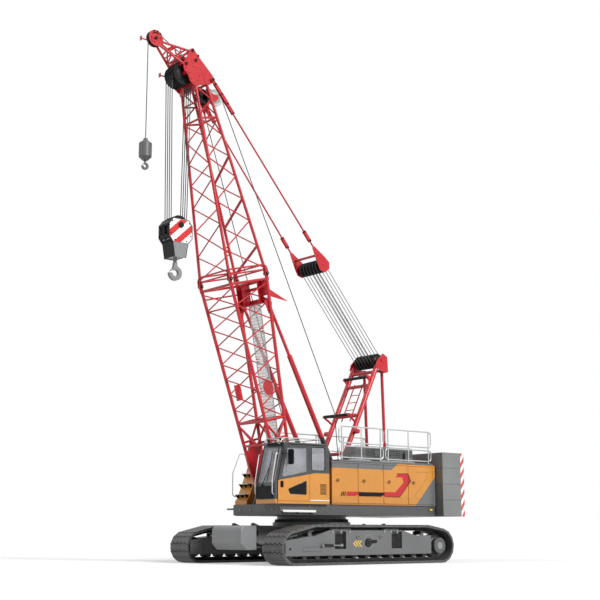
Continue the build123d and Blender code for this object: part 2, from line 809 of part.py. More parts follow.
lug_half = lug_thickness / 2
with BuildPart() as boom_base:
    for index in range(4):
        rod(corner(index, 600), corner(index, boom_joint_s - 90), chord_radius)
    lattice(base_first_s, base_last_s, base_bays, (base_first_s, boom_joint_s - 150))
    for side_y in (foot_half_width, -foot_half_width):
        with BuildSketch(boom_plane(side_y)) as foot_face:
            Circle(foot_eye_radius)
            with BuildLine():
                Polyline((0, foot_eye_radius), (900, half_depth(900) + 60), (1150, half_depth(1150) - 60),
                         (760, 0), (1150, 60 - half_depth(1150)), (900, -half_depth(900) - 60),
                         (0, -foot_eye_radius), close=True)
            make_face()
            Circle(foot_pin_radius + pin_gap, mode=Mode.SUBTRACT)
        extrude(foot_face.sketch, amount=foot_eye_thickness / 2, both=True)
    for index in range(4):
        depth_side, width_side = corners[index]
        t = depth_side * joint_half_depth
        plate(boom_plane(width_side * joint_half_width),
              [(boom_joint_s - 130, t - lug_half_height), (boom_joint_s + 40, t - lug_half_height),
               (boom_joint_s + 60, t - 35), (boom_joint_s + 60, t + 35),
               (boom_joint_s + 40, t + lug_half_height), (boom_joint_s - 130, t + lug_half_height)],
              lug_thickness, [(boom_joint_s, t, joint_pin_radius)])
    # Backstop lugs on a cross tube between the rear chords
    tie_s = backstop_boom_s + 150
    rod(corner(2, tie_s), corner(3, tie_s), frame_tube_radius)
    for side_y in (backstop_y + 45, -backstop_y - 45):
        plate(boom_plane(side_y),
              [(backstop_boom_s - 40, half_depth(tie_s) - 35), (tie_s + 35, half_depth(tie_s) - 35),
               (tie_s + 35, half_depth(tie_s) + 35), (backstop_boom_s + 60, backstop_boom_t + 75),
               (backstop_boom_s - 40, backstop_boom_t + 75), (backstop_boom_s - 70, backstop_boom_t)],
              backstop_lug_plate)
finish(boom_base, "boom_base")

def end_bar(root):
    """Add a level bar that runs forward from a point to an upright end plate."""
    end = root + Vector(end_bar_length, 0, 0)
    rod(root, end, end_bar_radius)
    half = end_plate_height / 2
    block((end.X - 12, end.X + 12), (end.Y - 45, end.Y + 45), (end.Z - half, end.Z + half))


head_outline = [(11300, -330), (12460, -400), (12910, -600), (13280, -510), (13560, -260), (13560, -90),
                (13380, -40), (12960, 330), (12640, 430), (12450, 430), (11300, 330)]
with BuildPart() as boom_tip:
    for index in range(4):
        rod(corner(index, boom_joint_s + 100), corner(index, tip_s), chord_radius - 10)
    lattice(tip_first_s, tip_last_s, tip_bays, (boom_joint_s + 160, tip_s - 60))
    for index in range(4):
        depth_side, width_side = corners[index]
        t = depth_side * joint_half_depth
        for sign in (1, -1):
            cheek_y = width_side * joint_half_width + sign * (lug_half + fork_gap + joint_cheek / 2)
            plate(boom_plane(cheek_y),
                  [(boom_joint_s - 55, t - lug_half_height), (boom_joint_s + 170, t - lug_half_height),
                   (boom_joint_s + 170, t + lug_half_height), (boom_joint_s - 55, t + lug_half_height)],
                  joint_cheek, [(boom_joint_s, t, joint_pin_radius)])
        plate(boom_plane(width_side * joint_half_width),
              [(boom_joint_s + 62, t - lug_half_height), (boom_joint_s + 170, t - lug_half_height),
               (boom_joint_s + 170, t + lug_half_height), (boom_joint_s + 62, t + lug_half_height)],
              lug_thickness + 2 * fork_gap)
    for side_y in (tip_half_width, -tip_half_width):
        plate(boom_plane(side_y), head_outline, head_plate,
              [(pendant_pin_s, pendant_pin_t, head_pin_radius),
               (jib_pin_s, jib_pin_t, head_pin_radius + pin_gap),
               (jib_low_s, jib_low_t, head_pin_radius + pin_gap),
               (head_hole_s, 0, head_hole_radius)])
    reach = tip_half_width + head_plate / 2 + 30
    rod(boom_point(head_sheave_s, head_sheave_t, -reach), boom_point(head_sheave_s, head_sheave_t, reach),
        head_shaft_radius)
    for s, t in ((11500, 200), (11500, -200), (12500, 300), (12980, 150), (13255, -478)):
        rod(boom_point(s, t, -tip_half_width), boom_point(s, t, tip_half_width), head_tube_radius)
    # Bar with an end plate, ahead of the right head plate
    end_bar(boom_point(12900, -560, -tip_half_width))
    # Bracket of the rear guide sheave
    for y in (-guide_bracket_y, guide_bracket_y):
        plate(boom_plane(y),
              [(11400, 200), (11600, 200), (guide_sheave_s + 90, guide_sheave_t - 60),
               (guide_sheave_s + 60, guide_sheave_t + 60), (guide_sheave_s - 60, guide_sheave_t + 60)],
              guide_bracket_plate)
    rod(boom_point(guide_sheave_s, guide_sheave_t, -105), boom_point(guide_sheave_s, guide_sheave_t, 105), 30)
finish(boom_tip, "boom_tip")

with BuildPart() as joint_pins:
    for depth_side, width_side in corners:
        t = depth_side * joint_half_depth
        y = width_side * joint_half_width
        rod(boom_point(boom_joint_s, t, y - joint_pin_half), boom_point(boom_joint_s, t, y + joint_pin_half),
            joint_pin_radius - 0.2)
finish(joint_pins, "boom_joint_pins")

with BuildPart() as guide_sheave:
    pulley(boom_point(guide_sheave_s, guide_sheave_t, 0), guide_sheave_radius, 30 + pin_gap, 1,
           guide_sheave_width)
finish(guide_sheave, "guide_sheave")

with BuildPart() as head_sheaves:
    pulley(boom_point(head_sheave_s, head_sheave_t, 0), head_sheave_radius, head_shaft_radius + pin_gap,
           head_sheave_count, head_sheave_pitch)
finish(head_sheaves, "head_sheaves")

# Auxiliary jib on the boom head: two cheeks at the sheave, ties above, chords below, braces between
jib_cheek_y = tip_sheave_width / 2 + running_gap + jib_cheek / 2
jib_tube_y = jib_cheek_y + jib_cheek / 2
jib_tie_s, jib_tie_t = 13850.0, -915.0
jib_chord_s, jib_chord_t = 13775.0, -1075.0
jib_node_share = 0.27
jib_far_share = 0.62
jib_brace_shares = (0.06, 0.34, 0.6)


def jib_place(root, tip, share, side):
    """Point on a jib tube between two (s, t) ends; the jib narrows from the boom head to the cheeks."""
    s = root[0] + (tip[0] - root[0]) * share
    t = root[1] + (tip[1] - root[1]) * share
    return boom_point(s, t, side * (jib_y + (jib_tube_y - jib_y) * share))


tie_ends = ((jib_pin_s, jib_pin_t), (jib_tie_s, jib_tie_t))
chord_ends = ((jib_low_s, jib_low_t), (jib_chord_s, jib_chord_t))
with BuildPart() as jib:
    pin_reach = tip_half_width + head_plate / 2 + 20
    for side in (1, -1):
        with BuildSketch(boom_plane(side * jib_cheek_y)) as cheek_face:
            with Locations((tip_sheave_s, tip_sheave_t)):
                Circle(150)
            with Locations((jib_tie_s, jib_tie_t), (jib_chord_s, jib_chord_t)):
                Circle(45)
            make_hull()
        extrude(cheek_face.sketch, amount=jib_cheek / 2, both=True)
        rod(jib_place(*tie_ends, 0, side), jib_place(*tie_ends, 1, side), jib_tie_radius)
        rod(jib_place(*chord_ends, 0, side), jib_place(*chord_ends, 1, side), jib_chord_radius)
        for s, t in (tie_ends[0], chord_ends[0]):
            boss = boom_point(s, t, side * jib_y)
            boss_half = Vector(0, jib_boss_half, 0)
            rod(boss - boss_half, boss + boss_half, jib_boss_radius)
            rod(boss, boom_point(s, t, side * pin_reach), head_pin_radius)
        node = jib_place(*chord_ends, jib_node_share, side)
        for share in jib_brace_shares:
            rod(node, jib_place(*tie_ends, share, side), jib_brace_radius)
        rod(jib_place(*chord_ends, jib_far_share, side), jib_place(*tie_ends, jib_brace_shares[-1], side),
            jib_brace_radius)
    for ends, share in ((tie_ends, 0), (tie_ends, jib_brace_shares[-1]), (chord_ends, jib_node_share)):
        rod(jib_place(*ends, share, -1), jib_place(*ends, share, 1), jib_chord_radius)
    shaft = boom_point(tip_sheave_s, tip_sheave_t, 0)
    shaft_half = Vector(0, jib_tube_y + 30, 0)
    rod(shaft - shaft_half, shaft + shaft_half, tip_shaft_radius)
    end_bar(boom_point(tip_sheave_s - 60, tip_sheave_t - 110, -jib_cheek_y))
finish(jib, "jib")

with BuildPart() as tip_sheave:
    pulley(boom_point(tip_sheave_s, tip_sheave_t, 0), tip_sheave_radius, tip_shaft_radius + pin_gap, 1,
           tip_sheave_width)
finish(tip_sheave, "tip_sheave")

# Gantry: legs, cross tubes, head plates, guide rollers on arms and a ladder, with two rear rods
leg_foot = Vector(gantry_leg_foot_x, 0, gantry_leg_foot_z)
leg_top = Vector(gantry_head_x + 150, 0, gantry_head_z - 190)
leg_dir = (leg_top - leg_foot).normalized()
leg_front = Vector(leg_dir.Z, 0, -leg_dir.X)
leg_plate_outline = [(-2500, 6590), (-2690, 6490), (-2720, 6000), (-2600, 5960), (-2180, 6130), (-2240, 6330)]


def leg_point(share, y, forward=0.0):
    """Point at a share of the gantry leg's length, and a distance ahead of its centre line."""
    return leg_foot + (leg_top - leg_foot) * share + leg_front * forward + Vector(0, y, 0)


with BuildPart() as gantry:
    for y in (gantry_leg_y, -gantry_leg_y):
        outward = 1 if y > 0 else -1
        rod(leg_point(0, y), leg_point(1, y), gantry_leg_radius)
        foot_half = gantry_lug_spread - gantry_lug_plate / 2 - seat_gap
        rod(leg_point(0, y - foot_half), leg_point(0, y + foot_half), gantry_leg_radius + 10)
        rod(leg_point(gantry_boss_share, y), leg_point(gantry_boss_share, y + outward * gantry_boss_length),
            gantry_boss_radius)
        # Arms of the lower guide roller and the bracket of the upper one
        roller = Vector(lower_roller_x, y + outward * 60, lower_roller_z)
        for share in (roller_arm_share, roller_arm_share + roller_arm_spread):
            rod(leg_point(share, y), roller, roller_arm_radius)
        bracket_nose = upper_roller_forward + 50
        plate(Plane(origin=leg_point(upper_roller_share, y), x_dir=leg_front, z_dir=(0, -1, 0)),
              [(0, -140), (0, 110), (bracket_nose, 45), (bracket_nose, -45)], roller_bracket_plate)
    for share in (0.3, 0.6, 0.84, 0.95):
        rod(leg_point(share, -gantry_leg_y), leg_point(share, gantry_leg_y), gantry_cross_radius)
    roller_y = gantry_leg_y + 60
    upper_roller = leg_point(upper_roller_share, 0, upper_roller_forward)
    for centre in (Vector(lower_roller_x, 0, lower_roller_z), upper_roller):
        rod(centre - Vector(0, roller_y, 0), centre + Vector(0, roller_y, 0), guide_roller_radius)
    for y in (ladder_y, -ladder_y):
        rod(leg_point(ladder_low_share, y), leg_point(ladder_high_share, y), ladder_radius)
    for rung in range(ladder_rungs):
        share = ladder_low_share + (ladder_high_share - ladder_low_share) * (rung + 0.5) / ladder_rungs
        rod(leg_point(share, -ladder_y), leg_point(share, ladder_y), rung_radius)
    for y in (gantry_plate_y, -gantry_plate_y):
        plate(side_plane(y), leg_plate_outline, gantry_plate)
    span = gantry_plate_y + gantry_plate / 2 + 25
    rod((gantry_head_x, -span, gantry_head_z), (gantry_head_x, span, gantry_head_z), gantry_shaft_radius)
    rod((gantry_tie_x, -gantry_plate_y, gantry_tie_z), (gantry_tie_x, gantry_plate_y, gantry_tie_z),
        gantry_tie_radius)
finish(gantry, "gantry")

with BuildPart() as gantry_rods:
    foot_half = rod_lug_spread - rod_lug_plate / 2 - seat_gap
    for y in (gantry_rod_y, -gantry_rod_y):
        rod((gantry_rod_x, y, gantry_rod_foot_z), (gantry_tie_x, y, gantry_tie_z), gantry_rod_radius)
        rod((gantry_rod_x, y - foot_half, gantry_rod_foot_z),
            (gantry_rod_x, y + foot_half, gantry_rod_foot_z), gantry_rod_radius + 20)
        rod((gantry_tie_x, y - 45, gantry_tie_z), (gantry_tie_x, y + 45, gantry_tie_z), 2 * gantry_tie_radius)
    with BuildSketch(side_plane(gantry_plate_y)) as tie_bore:
        with Locations((gantry_tie_x, gantry_tie_z)):
            Circle(gantry_tie_radius + seat_gap)
    extrude(tie_bore.sketch, amount=2 * gantry_plate_y, mode=Mode.SUBTRACT)
finish(gantry_rods, "gantry_rods")

# Stays: sheaves in the gantry head, the floating block and the two pendants, on one line
gantry_point = Vector(gantry_head_x, 0, gantry_head_z)
pendant_point = boom_point(pendant_pin_s, pendant_pin_t, 0)
stay_length = (pendant_point - gantry_point).length
stay_dir = (pendant_point - gantry_point) / stay_length
stay_plane_x = Vector(stay_dir.X, 0, stay_dir.Z)


def stay_plane(y):
    """Upright plane along the stays: local x runs from the gantry head to the boom head."""
    return Plane(origin=gantry_point + Vector(0, y, 0), x_dir=stay_plane_x, z_dir=(0, -1, 0))


with BuildPart() as gantry_sheaves:
    pulley(tuple(gantry_point), gantry_sheave_radius, gantry_shaft_radius + pin_gap, stay_groove_count,
           stay_groove_pitch)
finish(gantry_sheaves, "gantry_sheaves")

floating_s = stay_length * floating_share
pendant_y = tip_half_width + head_plate / 2 + fork_gap + pendant_eye / 2
with BuildPart() as floating_block:
    for y in (floating_half_width, -floating_half_width):
        plate(stay_plane(y), [(floating_s - 260, -110), (floating_s - 100, -230), (floating_s + 120, -190),
                              (floating_s + floating_nose, -40), (floating_s + floating_nose, 40),
                              (floating_s + 120, 190), (floating_s - 100, 230), (floating_s - 260, 110)],
              floating_plate)
    for s, radius in ((floating_s - floating_sheave_back, gantry_shaft_radius),
                      (floating_s + floating_tube_ahead, floating_tube_radius)):
        centre = gantry_point + stay_dir * s
        reach = Vector(0, floating_half_width + 30, 0)
        rod(centre - reach, centre + reach, radius)
finish(floating_block, "floating_block")

with BuildPart() as floating_sheaves:
    pulley(tuple(gantry_point + stay_dir * (floating_s - floating_sheave_back)), floating_sheave_radius,
           gantry_shaft_radius + pin_gap, stay_groove_count, stay_groove_pitch)
finish(floating_sheaves, "floating_sheaves")

with BuildPart() as pendants:
    for sign in (1, -1):
        low = gantry_point + stay_dir * (floating_s + floating_nose + 3 * seat_gap)
        high = gantry_point + stay_dir * (stay_length - 330)
        rod(low + Vector(0, sign * floating_half_width, 0), high + Vector(0, sign * pendant_y, 0),
            pendant_radius)
        with BuildSketch(stay_plane(sign * pendant_y)) as eye_face:
            with Locations((stay_length, 0)):
                Circle(75)
            with Locations((stay_length - 180, 0)):
                Rectangle(360, 90)
        extrude(eye_face.sketch, amount=pendant_eye / 2, both=True)
finish(pendants, "pendants")

# Backstops: outer tubes pivoted on the deck posts, rods that slide in them
backstop_foot = Vector(backstop_foot_x, 0, backstop_foot_z)
backstop_top = boom_point(backstop_boom_s, backstop_boom_t, 0)
backstop_length = (backstop_top - backstop_foot).length
backstop_dir = (backstop_top - backstop_foot) / backstop_length
with BuildPart() as backstop_tubes:
    for y in (backstop_y, -backstop_y):
        foot = backstop_foot + Vector(0, y, 0)
        rod(foot + backstop_dir * 60, foot + backstop_dir * backstop_tube_length, backstop_tube_radius)
        rod(foot - Vector(0, 50, 0), foot + Vector(0, 50, 0), backstop_boss_radius)
    for y in (backstop_y, -backstop_y):
        side = Vector(0, y, 0)
        bore = backstop_foot + side + backstop_dir * 400
        with BuildSketch(Plane(origin=bore, z_dir=backstop_dir)) as bore_face:
            Circle(backstop_rod_radius + backstop_bore_gap)
        extrude(bore_face.sketch, amount=backstop_tube_length, mode=Mode.SUBTRACT)
        with BuildSketch(side_plane(y)) as pin_face:
            with Locations((backstop_foot_x, backstop_foot_z)):
                Circle(post_pin_radius + pin_gap)
        extrude(pin_face.sketch, amount=70, both=True, mode=Mode.SUBTRACT)
finish(backstop_tubes, "backstop_tubes")

with BuildPart() as backstop_rods:
    for sign in (1, -1):
        side = Vector(0, sign * backstop_y, 0)
        rod(backstop_foot + side + backstop_dir * (backstop_length - backstop_rod_length),
            backstop_foot + side + backstop_dir * (backstop_length - 140), backstop_rod_radius)
        eye_y = sign * (backstop_y + 30 - fork_gap - 20)
        eye_plane = Plane(origin=backstop_foot + Vector(0, eye_y, 0), x_dir=backstop_dir, z_dir=(0, -1, 0))
        with BuildSketch(eye_plane) as eye:
            with Locations((backstop_length, 0)):
                Circle(backstop_eye_radius)
            with Locations((backstop_length - 90, 0)):
                Rectangle(180, 84)
        extrude(eye.sketch, amount=20, both=True)
finish(backstop_rods, "backstop_rods")

# Houses: the left one is hollow behind its doors, the right one is closed, with steps in front
hinge_levels = (house_door_low_z + 110, house_door_high_z - 250)
with BuildPart() as left_house:
    block((deck_rear_x, house_front_x), (house_inner_y, house_outer_y), (house_low_z, house_top_z))
    fillet(left_house.edges().filter_by(Axis.X).group_by(Axis.Z)[-1].sort_by(Axis.Y)[-1], 40)
    block((deck_rear_x + house_wall, house_front_x - house_wall),
          (house_inner_y + house_wall, house_outer_y - house_wall),
          (house_low_z + house_wall, house_top_z - house_wall), mode=Mode.SUBTRACT)
    for front, rear in zip(house_seams[:-1], house_seams[1:]):
        block((rear + 45, front - 45), (house_outer_y - house_wall - 10, house_outer_y + 10),
              (house_door_low_z + 25, house_door_high_z - 25), mode=Mode.SUBTRACT)
        block((rear, front), (house_outer_y - house_door_thickness - 6, house_outer_y + 10),
              (house_door_low_z - panel_gap, house_door_high_z + panel_gap), mode=Mode.SUBTRACT)
    for seam in house_seams[1:]:
        for z in hinge_levels:
            hinge_fixed(seam, house_outer_y, z, house_outer_y - house_door_thickness - 20)
finish(left_house, "left_house")

for number, (front, rear) in enumerate(zip(house_seams[:-1], house_seams[1:]), start=1):
    with BuildPart() as house_door:
        block((rear + panel_gap, front - panel_gap),
              (house_outer_y - house_door_thickness, house_outer_y), (house_door_low_z, house_door_high_z))
        fillet(house_door.edges().filter_by(Axis.Y), 30)
        # Recessed pull near the front edge
        with BuildSketch(Plane.XZ.offset(-house_outer_y)):
            with Locations((front - 170, 2360)):
                SlotOverall(180, 70)
        extrude(amount=20, mode=Mode.SUBTRACT)
        for z in hinge_levels:
            hinge_moving(rear, house_outer_y, z)
    finish(house_door, f"house_door_{number}")

with BuildPart() as right_house:
    block((deck_rear_x, step_box_rear_x), (-house_outer_y, -house_inner_y), (house_low_z, house_top_z))
    block((step_box_rear_x, deck_far_front_x), (-house_outer_y, step_box_inner_y),
          (house_low_z, step_box_top_z))
    block((deck_rear_x + house_wall, step_box_rear_x - house_wall),
          (house_wall - house_outer_y, -house_wall - house_inner_y),
          (house_low_z, house_top_z - house_wall), mode=Mode.SUBTRACT)
    for level in range(3):
        step_z = step_low_z + level * step_rise
        block((step_depth_x, deck_far_front_x + 10), (60 - house_outer_y, step_box_inner_y - 60),
              (step_z, step_z + step_opening), mode=Mode.SUBTRACT)
    fillet(right_house.edges().filter_by(Axis.X).group_by(Axis.Z)[-1].sort_by(Axis.Y)[0], 40)
    for x in house_seams[1:-1]:
        block((x - 4, x + 4), (-house_outer_y - 10, -house_outer_y + 12),
              (house_low_z + 20, house_top_z - 60), mode=Mode.SUBTRACT)
finish(right_house, "right_house")

with BuildPart() as engine:
    block((-3000, -1400), (house_inner_y + 100, 1400), (house_low_z + house_wall, 2700))
finish(engine, "engine")

with BuildPart() as hood:
    with BuildSketch(side_plane((house_inner_y + hood_outer_y) / 2)):
        with BuildLine():
            Polyline((hood_rear_x, house_top_z), (hood_front_x, house_top_z), (hood_front_x, hood_slope_z),
                     (hood_front_x - hood_slope_run, hood_top_z), (hood_rear_x, hood_top_z), close=True)
        make_face()
    extrude(amount=(hood_outer_y - house_inner_y) / 2, both=True)
    fillet(hood.edges().filter_by(Axis.X).group_by(Axis.Z)[-1], 60)
    # Grille: a sunk panel with rows of round holes, and an arched keyhole behind it
    grille_centre = (sum(grille_x) / 2, sum(grille_z) / 2)
    grille_size = (grille_x[1] - grille_x[0], grille_z[1] - grille_z[0])
    with BuildSketch(side_plane(hood_outer_y)) as grille_face:
        with Locations(grille_centre):
            Rectangle(*grille_size)
    extrude(grille_face.sketch, amount=grille_recess, mode=Mode.SUBTRACT)
    with BuildSketch(side_plane(hood_outer_y - grille_recess)) as hole_face:
        with Locations(grille_centre):
            with GridLocations(grille_size[0] / grille_columns, grille_size[1] / grille_rows, grille_columns,
                               grille_rows):
                Circle(grille_hole_radius)
    extrude(hole_face.sketch, amount=2 * grille_recess, mode=Mode.SUBTRACT)
    with BuildSketch(side_plane(hood_outer_y)) as keyhole_face:
        with Locations((keyhole_x, grille_z[1] - keyhole_radius)):
            Circle(keyhole_radius)
        with Locations((keyhole_x, (grille_z[0] + grille_z[1] - keyhole_radius) / 2)):
            Rectangle(2 * keyhole_radius, grille_z[1] - keyhole_radius - grille_z[0])
    extrude(keyhole_face.sketch, amount=3 * grille_recess, mode=Mode.SUBTRACT)
finish(hood, "engine_hood")

# Roof walkways, and handrails of two rounded loops each on three posts
with BuildPart() as walkways:
    for outward in (1, -1):
        low, high = sorted((outward * (hood_outer_y + 12), outward * (house_outer_y - 10)))
        block((walkway_rear_x, walkway_front_x), (low, high), (house_top_z, house_top_z + walkway_plate))
finish(walkways, "walkways")

with BuildPart() as handrails:
    walkway_top_z = house_top_z + walkway_plate
    for outward in (1, -1):
        y = outward * rail_y
        for front, rear in rail_panels:
            tube_loop((rear, rail_split_z), (front, rail_top_z - rail_radius), y, rail_radius, rail_corner)
            lower_loop_top_z = rail_split_z - 5 * rail_radius
            tube_loop((rear, rail_low_z), (front, lower_loop_top_z), y, rail_radius, rail_corner)
            for x in (front - rail_corner, (front + rear) / 2, rear + rail_corner):
                rod((x, y, walkway_top_z), (x, y, rail_top_z - rail_radius), rail_radius)
finish(handrails, "handrails")

# Counterweight slabs
for number in range(slab_count):
    low_z = deck_low_z + number * slab_height
    with BuildPart() as slab:
        with BuildSketch(Plane.XY.offset(low_z)):
            with BuildLine():
                Polyline((slab_front_x, slab_half_width), (slab_corner_x, slab_half_width),
                         (slab_rear_x, slab_half_width - slab_corner_in),
                         (slab_rear_x, slab_corner_in - slab_half_width), (slab_corner_x, -slab_half_width),
                         (slab_front_x, -slab_half_width), close=True)
            make_face()
        extrude(amount=slab_height)
        chamfer(slab.faces().filter_by(Axis.Z).edges(), slab_edge_cut)
        if number == 0:
            arm_half = slab_arm_half + seat_gap
            for y in (slab_arm_y, -slab_arm_y):
                block((slab_front_x - slab_arm_reach - seat_gap, slab_front_x + 10),
                      (y - arm_half, y + arm_half), (low_z - 10, low_z + arm_half), mode=Mode.SUBTRACT)
    finish(slab, f"counterweight_slab_{number + 1}")

# Hoist drums between the houses, each on a shaft between two side plates
with BuildPart() as drums:
    for x, radius, width in drum_table:
        half = width / 2
        rod((x, -half, drum_centre_z), (x, half, drum_centre_z), radius)
        for y in (-half, half - drum_flange_width):
            rod((x, y, drum_centre_z), (x, y + drum_flange_width, drum_centre_z), radius + drum_flange)
        for y in (-half - 60, half + 20):
            block((x - 180, x + 180), (y, y + 40), (deck_low_z + deck_plate, drum_centre_z + 160))
        rod((x, -half - 20, drum_centre_z), (x, half + 20, drum_centre_z), 90)
finish(drums, "hoist_drums")

# Cab
cab_profile = [(cab_rear_x, cab_low_z), (cab_front_x, cab_low_z), (cab_front_x + 10, cab_sill_z),
               (cab_front_x - 300, cab_top_z - 60), (cab_front_x - 360, cab_top_z),
               (cab_rear_x + 120, cab_top_z), (cab_rear_x, cab_top_z - 160)]
front_lean = 290.0 / (cab_top_z - 60 - cab_sill_z)


def cab_front_at(z):
    """X of the cab's front face at a height."""
    return cab_front_x + 10 - max(0.0, z - cab_sill_z) * front_lean


def cab_side_outline(rear_x, low_z, high_z, front_margin):
    """Outline of a side panel or window that follows the leaning front edge."""
    return [(rear_x, low_z), (cab_front_at(low_z) - front_margin, low_z),
            (cab_front_at(cab_sill_z) - front_margin, max(low_z, cab_sill_z)),
            (cab_front_at(high_z) - front_margin, high_z), (rear_x, high_z)]


def prism(outline, y_low, y_high, corner_radius, mode=Mode.ADD, grow=0.0):
    """Add or cut an upright slab between two widths, with rounded corners."""
    with BuildSketch(side_plane(y_high)) as face:
        with BuildLine():
            Polyline(*outline, close=True)
        make_face()
        if corner_radius:
            fillet(face.vertices(), corner_radius)
        if grow:
            offset(amount=grow)
    extrude(face.sketch, amount=y_high - y_low, mode=mode)


door_outline = cab_side_outline(door_rear_x, door_low_z, door_high_z, door_front_margin)
window_margin = door_front_margin + 95
door_window_rear_x = door_rear_x + 110
door_window = [(door_window_rear_x, 2630), (cab_front_at(2450) - window_margin, 2450),
               (cab_front_at(3290) - window_margin, 3290), (door_window_rear_x, 3300)]
door_low_window = [(door_window_rear_x, 1955), (2200, 1975), (2285, 2120), (door_window_rear_x, 2385)]
quarter_window = [(890, 2685), (1385, 2640), (1385, 3340), (890, 3350)]
right_window = cab_side_outline(1000, 2300, 3330, 190)
pane_inset = 14.0

# Windscreen: its own plane on the leaning front face, with local x across the cab
screen_low = Vector(cab_front_x + 10, 0, cab_sill_z)
screen_high = Vector(cab_front_x - 280, 0, cab_top_z - 60)
screen_dir = (screen_high - screen_low).normalized()
screen_length = (screen_high - screen_low).length
screen_centre = (screen_low + screen_high) / 2 + Vector(0, (cab_left_y + cab_right_y) / 2, 0)
screen_plane = Plane(origin=screen_centre, x_dir=(0, 1, 0), z_dir=(screen_dir.Z, 0, -screen_dir.X))
screen_width = cab_left_y - cab_right_y - 130
screen_height = screen_length - 150
toe_low, toe_high = 1880.0, 2190.0
rear_low, rear_high = 2600.0, 3200.0
hinge_cab_levels = (1960.0, 3060.0)


def face_pane(plane, width, height, corner_radius, depth, mode=Mode.ADD):
    """Add or cut a rounded pane, sunk below its plane by the pane inset when added."""
    with BuildSketch(plane) as face:
        RectangleRounded(width, height, corner_radius)
    if mode == Mode.SUBTRACT:
        extrude(face.sketch, amount=depth, both=True, mode=mode)
    else:
        extrude(face.sketch.moved(Location(plane.z_dir * -pane_inset)), amount=-depth)


toe_centre = (cab_front_x + 4, screen_centre.Y, (toe_low + toe_high) / 2)
toe_plane = Plane(origin=toe_centre, x_dir=(0, 1, 0), z_dir=(1, 0, 0))
rear_centre = (cab_rear_x, screen_centre.Y, (rear_low + rear_high) / 2)
rear_plane = Plane(origin=rear_centre, x_dir=(0, 1, 0), z_dir=(-1, 0, 0))
panes = [
    (screen_plane, screen_width, screen_height, 50),
    (toe_plane, screen_width, toe_high - toe_low, 40),
    (rear_plane, screen_width - 120, rear_high - rear_low, 50),
]

with BuildPart() as cab_shell:
    prism(cab_profile, cab_right_y, cab_left_y, 0)
    fillet(cab_shell.edges().filter_by(Axis.X).group_by(Axis.Z)[-1], 40)
    inner = [(cab_rear_x + cab_wall, cab_low_z + cab_wall), (cab_front_x - cab_wall, cab_low_z + cab_wall),
             (cab_front_x + 10 - cab_wall, cab_sill_z),
             (cab_front_x - 290 - cab_wall, cab_top_z - 70 - cab_wall),
             (cab_rear_x + cab_wall, cab_top_z - 70 - cab_wall)]
    prism(inner, cab_right_y + cab_wall, cab_left_y - cab_wall, 0, mode=Mode.SUBTRACT)
    prism(door_outline, cab_left_y - cab_wall - 10, cab_left_y + 10, 60, mode=Mode.SUBTRACT, grow=panel_gap)
    prism(quarter_window, cab_left_y - cab_wall - 10, cab_left_y + 10, 60, mode=Mode.SUBTRACT)
    prism(right_window, cab_right_y - 10, cab_right_y + cab_wall + 10, 60, mode=Mode.SUBTRACT)
    for plane, width, height, corner_radius in panes:
        face_pane(plane, width, height, corner_radius, 90, mode=Mode.SUBTRACT)
    for z in hinge_cab_levels:
        hinge_fixed(door_rear_x - panel_gap, cab_left_y, z, cab_left_y - 8)
    # Air vent low on the left side, and a visor above the windscreen
    with BuildSketch(side_plane(cab_left_y)) as vent_face:
        with Locations((vent_x, vent_z)):
            with GridLocations(1, vent_pitch, 1, vent_slots):
                SlotOverall(vent_length, vent_pitch * 0.55)
    extrude(vent_face.sketch, amount=cab_wall / 3, mode=Mode.SUBTRACT)
    visor_rear_x = cab_front_x - 430
    visor_front_x = cab_front_at(cab_top_z - 60) + visor_reach
    visor = [(visor_rear_x, cab_top_z - 10), (visor_rear_x, cab_top_z + 12), (visor_front_x, cab_top_z - 28),
             (visor_front_x, cab_top_z - 28 - visor_thickness)]
    prism(visor, cab_right_y + 60, cab_left_y - 60, 0)
finish(cab_shell, "cab_shell")

with BuildPart() as cab_glass:
    prism(quarter_window, cab_left_y - pane_inset - glass, cab_left_y - pane_inset, 60, grow=-seat_gap)
    prism(right_window, cab_right_y + pane_inset, cab_right_y + pane_inset + glass, 60, grow=-seat_gap)
    for plane, width, height, corner_radius in panes:
        face_pane(plane, width - 2 * seat_gap, height - 2 * seat_gap, corner_radius, glass)
finish(cab_glass, "cab_glass")

with BuildPart() as cab_door:
    prism(door_outline, cab_left_y - door_thickness, cab_left_y, 60)
    for window in (door_window, door_low_window):
        prism(window, cab_left_y - door_thickness - 5, cab_left_y + 5, 50, mode=Mode.SUBTRACT)
    for z in hinge_cab_levels:
        hinge_moving(door_rear_x - panel_gap, cab_left_y, z)
finish(cab_door, "cab_door")

with BuildPart() as door_glass:
    for window in (door_window, door_low_window):
        prism(window, cab_left_y - pane_inset - glass, cab_left_y - pane_inset, 50, grow=-seat_gap)
finish(door_glass, "cab_door_glass")

seat_x, seat_y = 1500.0, (cab_left_y + cab_right_y) / 2
with BuildPart() as cab_seat:
    block((seat_x - 200, seat_x + 200), (seat_y - 170, seat_y + 170), (cab_low_z + cab_wall, 2080))
    block((seat_x - 260, seat_x + 270), (seat_y - 250, seat_y + 250), (2080, 2220))
    with BuildSketch(side_plane(seat_y)):
        with BuildLine():
            Polyline((seat_x - 270, 2150), (seat_x - 130, 2150), (seat_x - 250, 2980), (seat_x - 370, 2980),
                     close=True)
        make_face()
    extrude(amount=230, both=True)
finish(cab_seat, "cab_seat")

with BuildPart() as console:
    for sign in (1, -1):
        y = seat_y + sign * 330
        block((seat_x - 200, seat_x + 420), (y - 65, y + 65), (cab_low_z + cab_wall, 2330))
    with BuildSketch(side_plane(seat_y - 300)):
        with BuildLine():
            Polyline((2330, cab_low_z + cab_wall), (2480, cab_low_z + cab_wall), (2480, 2480), (2380, 2480),
                     close=True)
        make_face()
    extrude(amount=100)
finish(console, "cab_console")

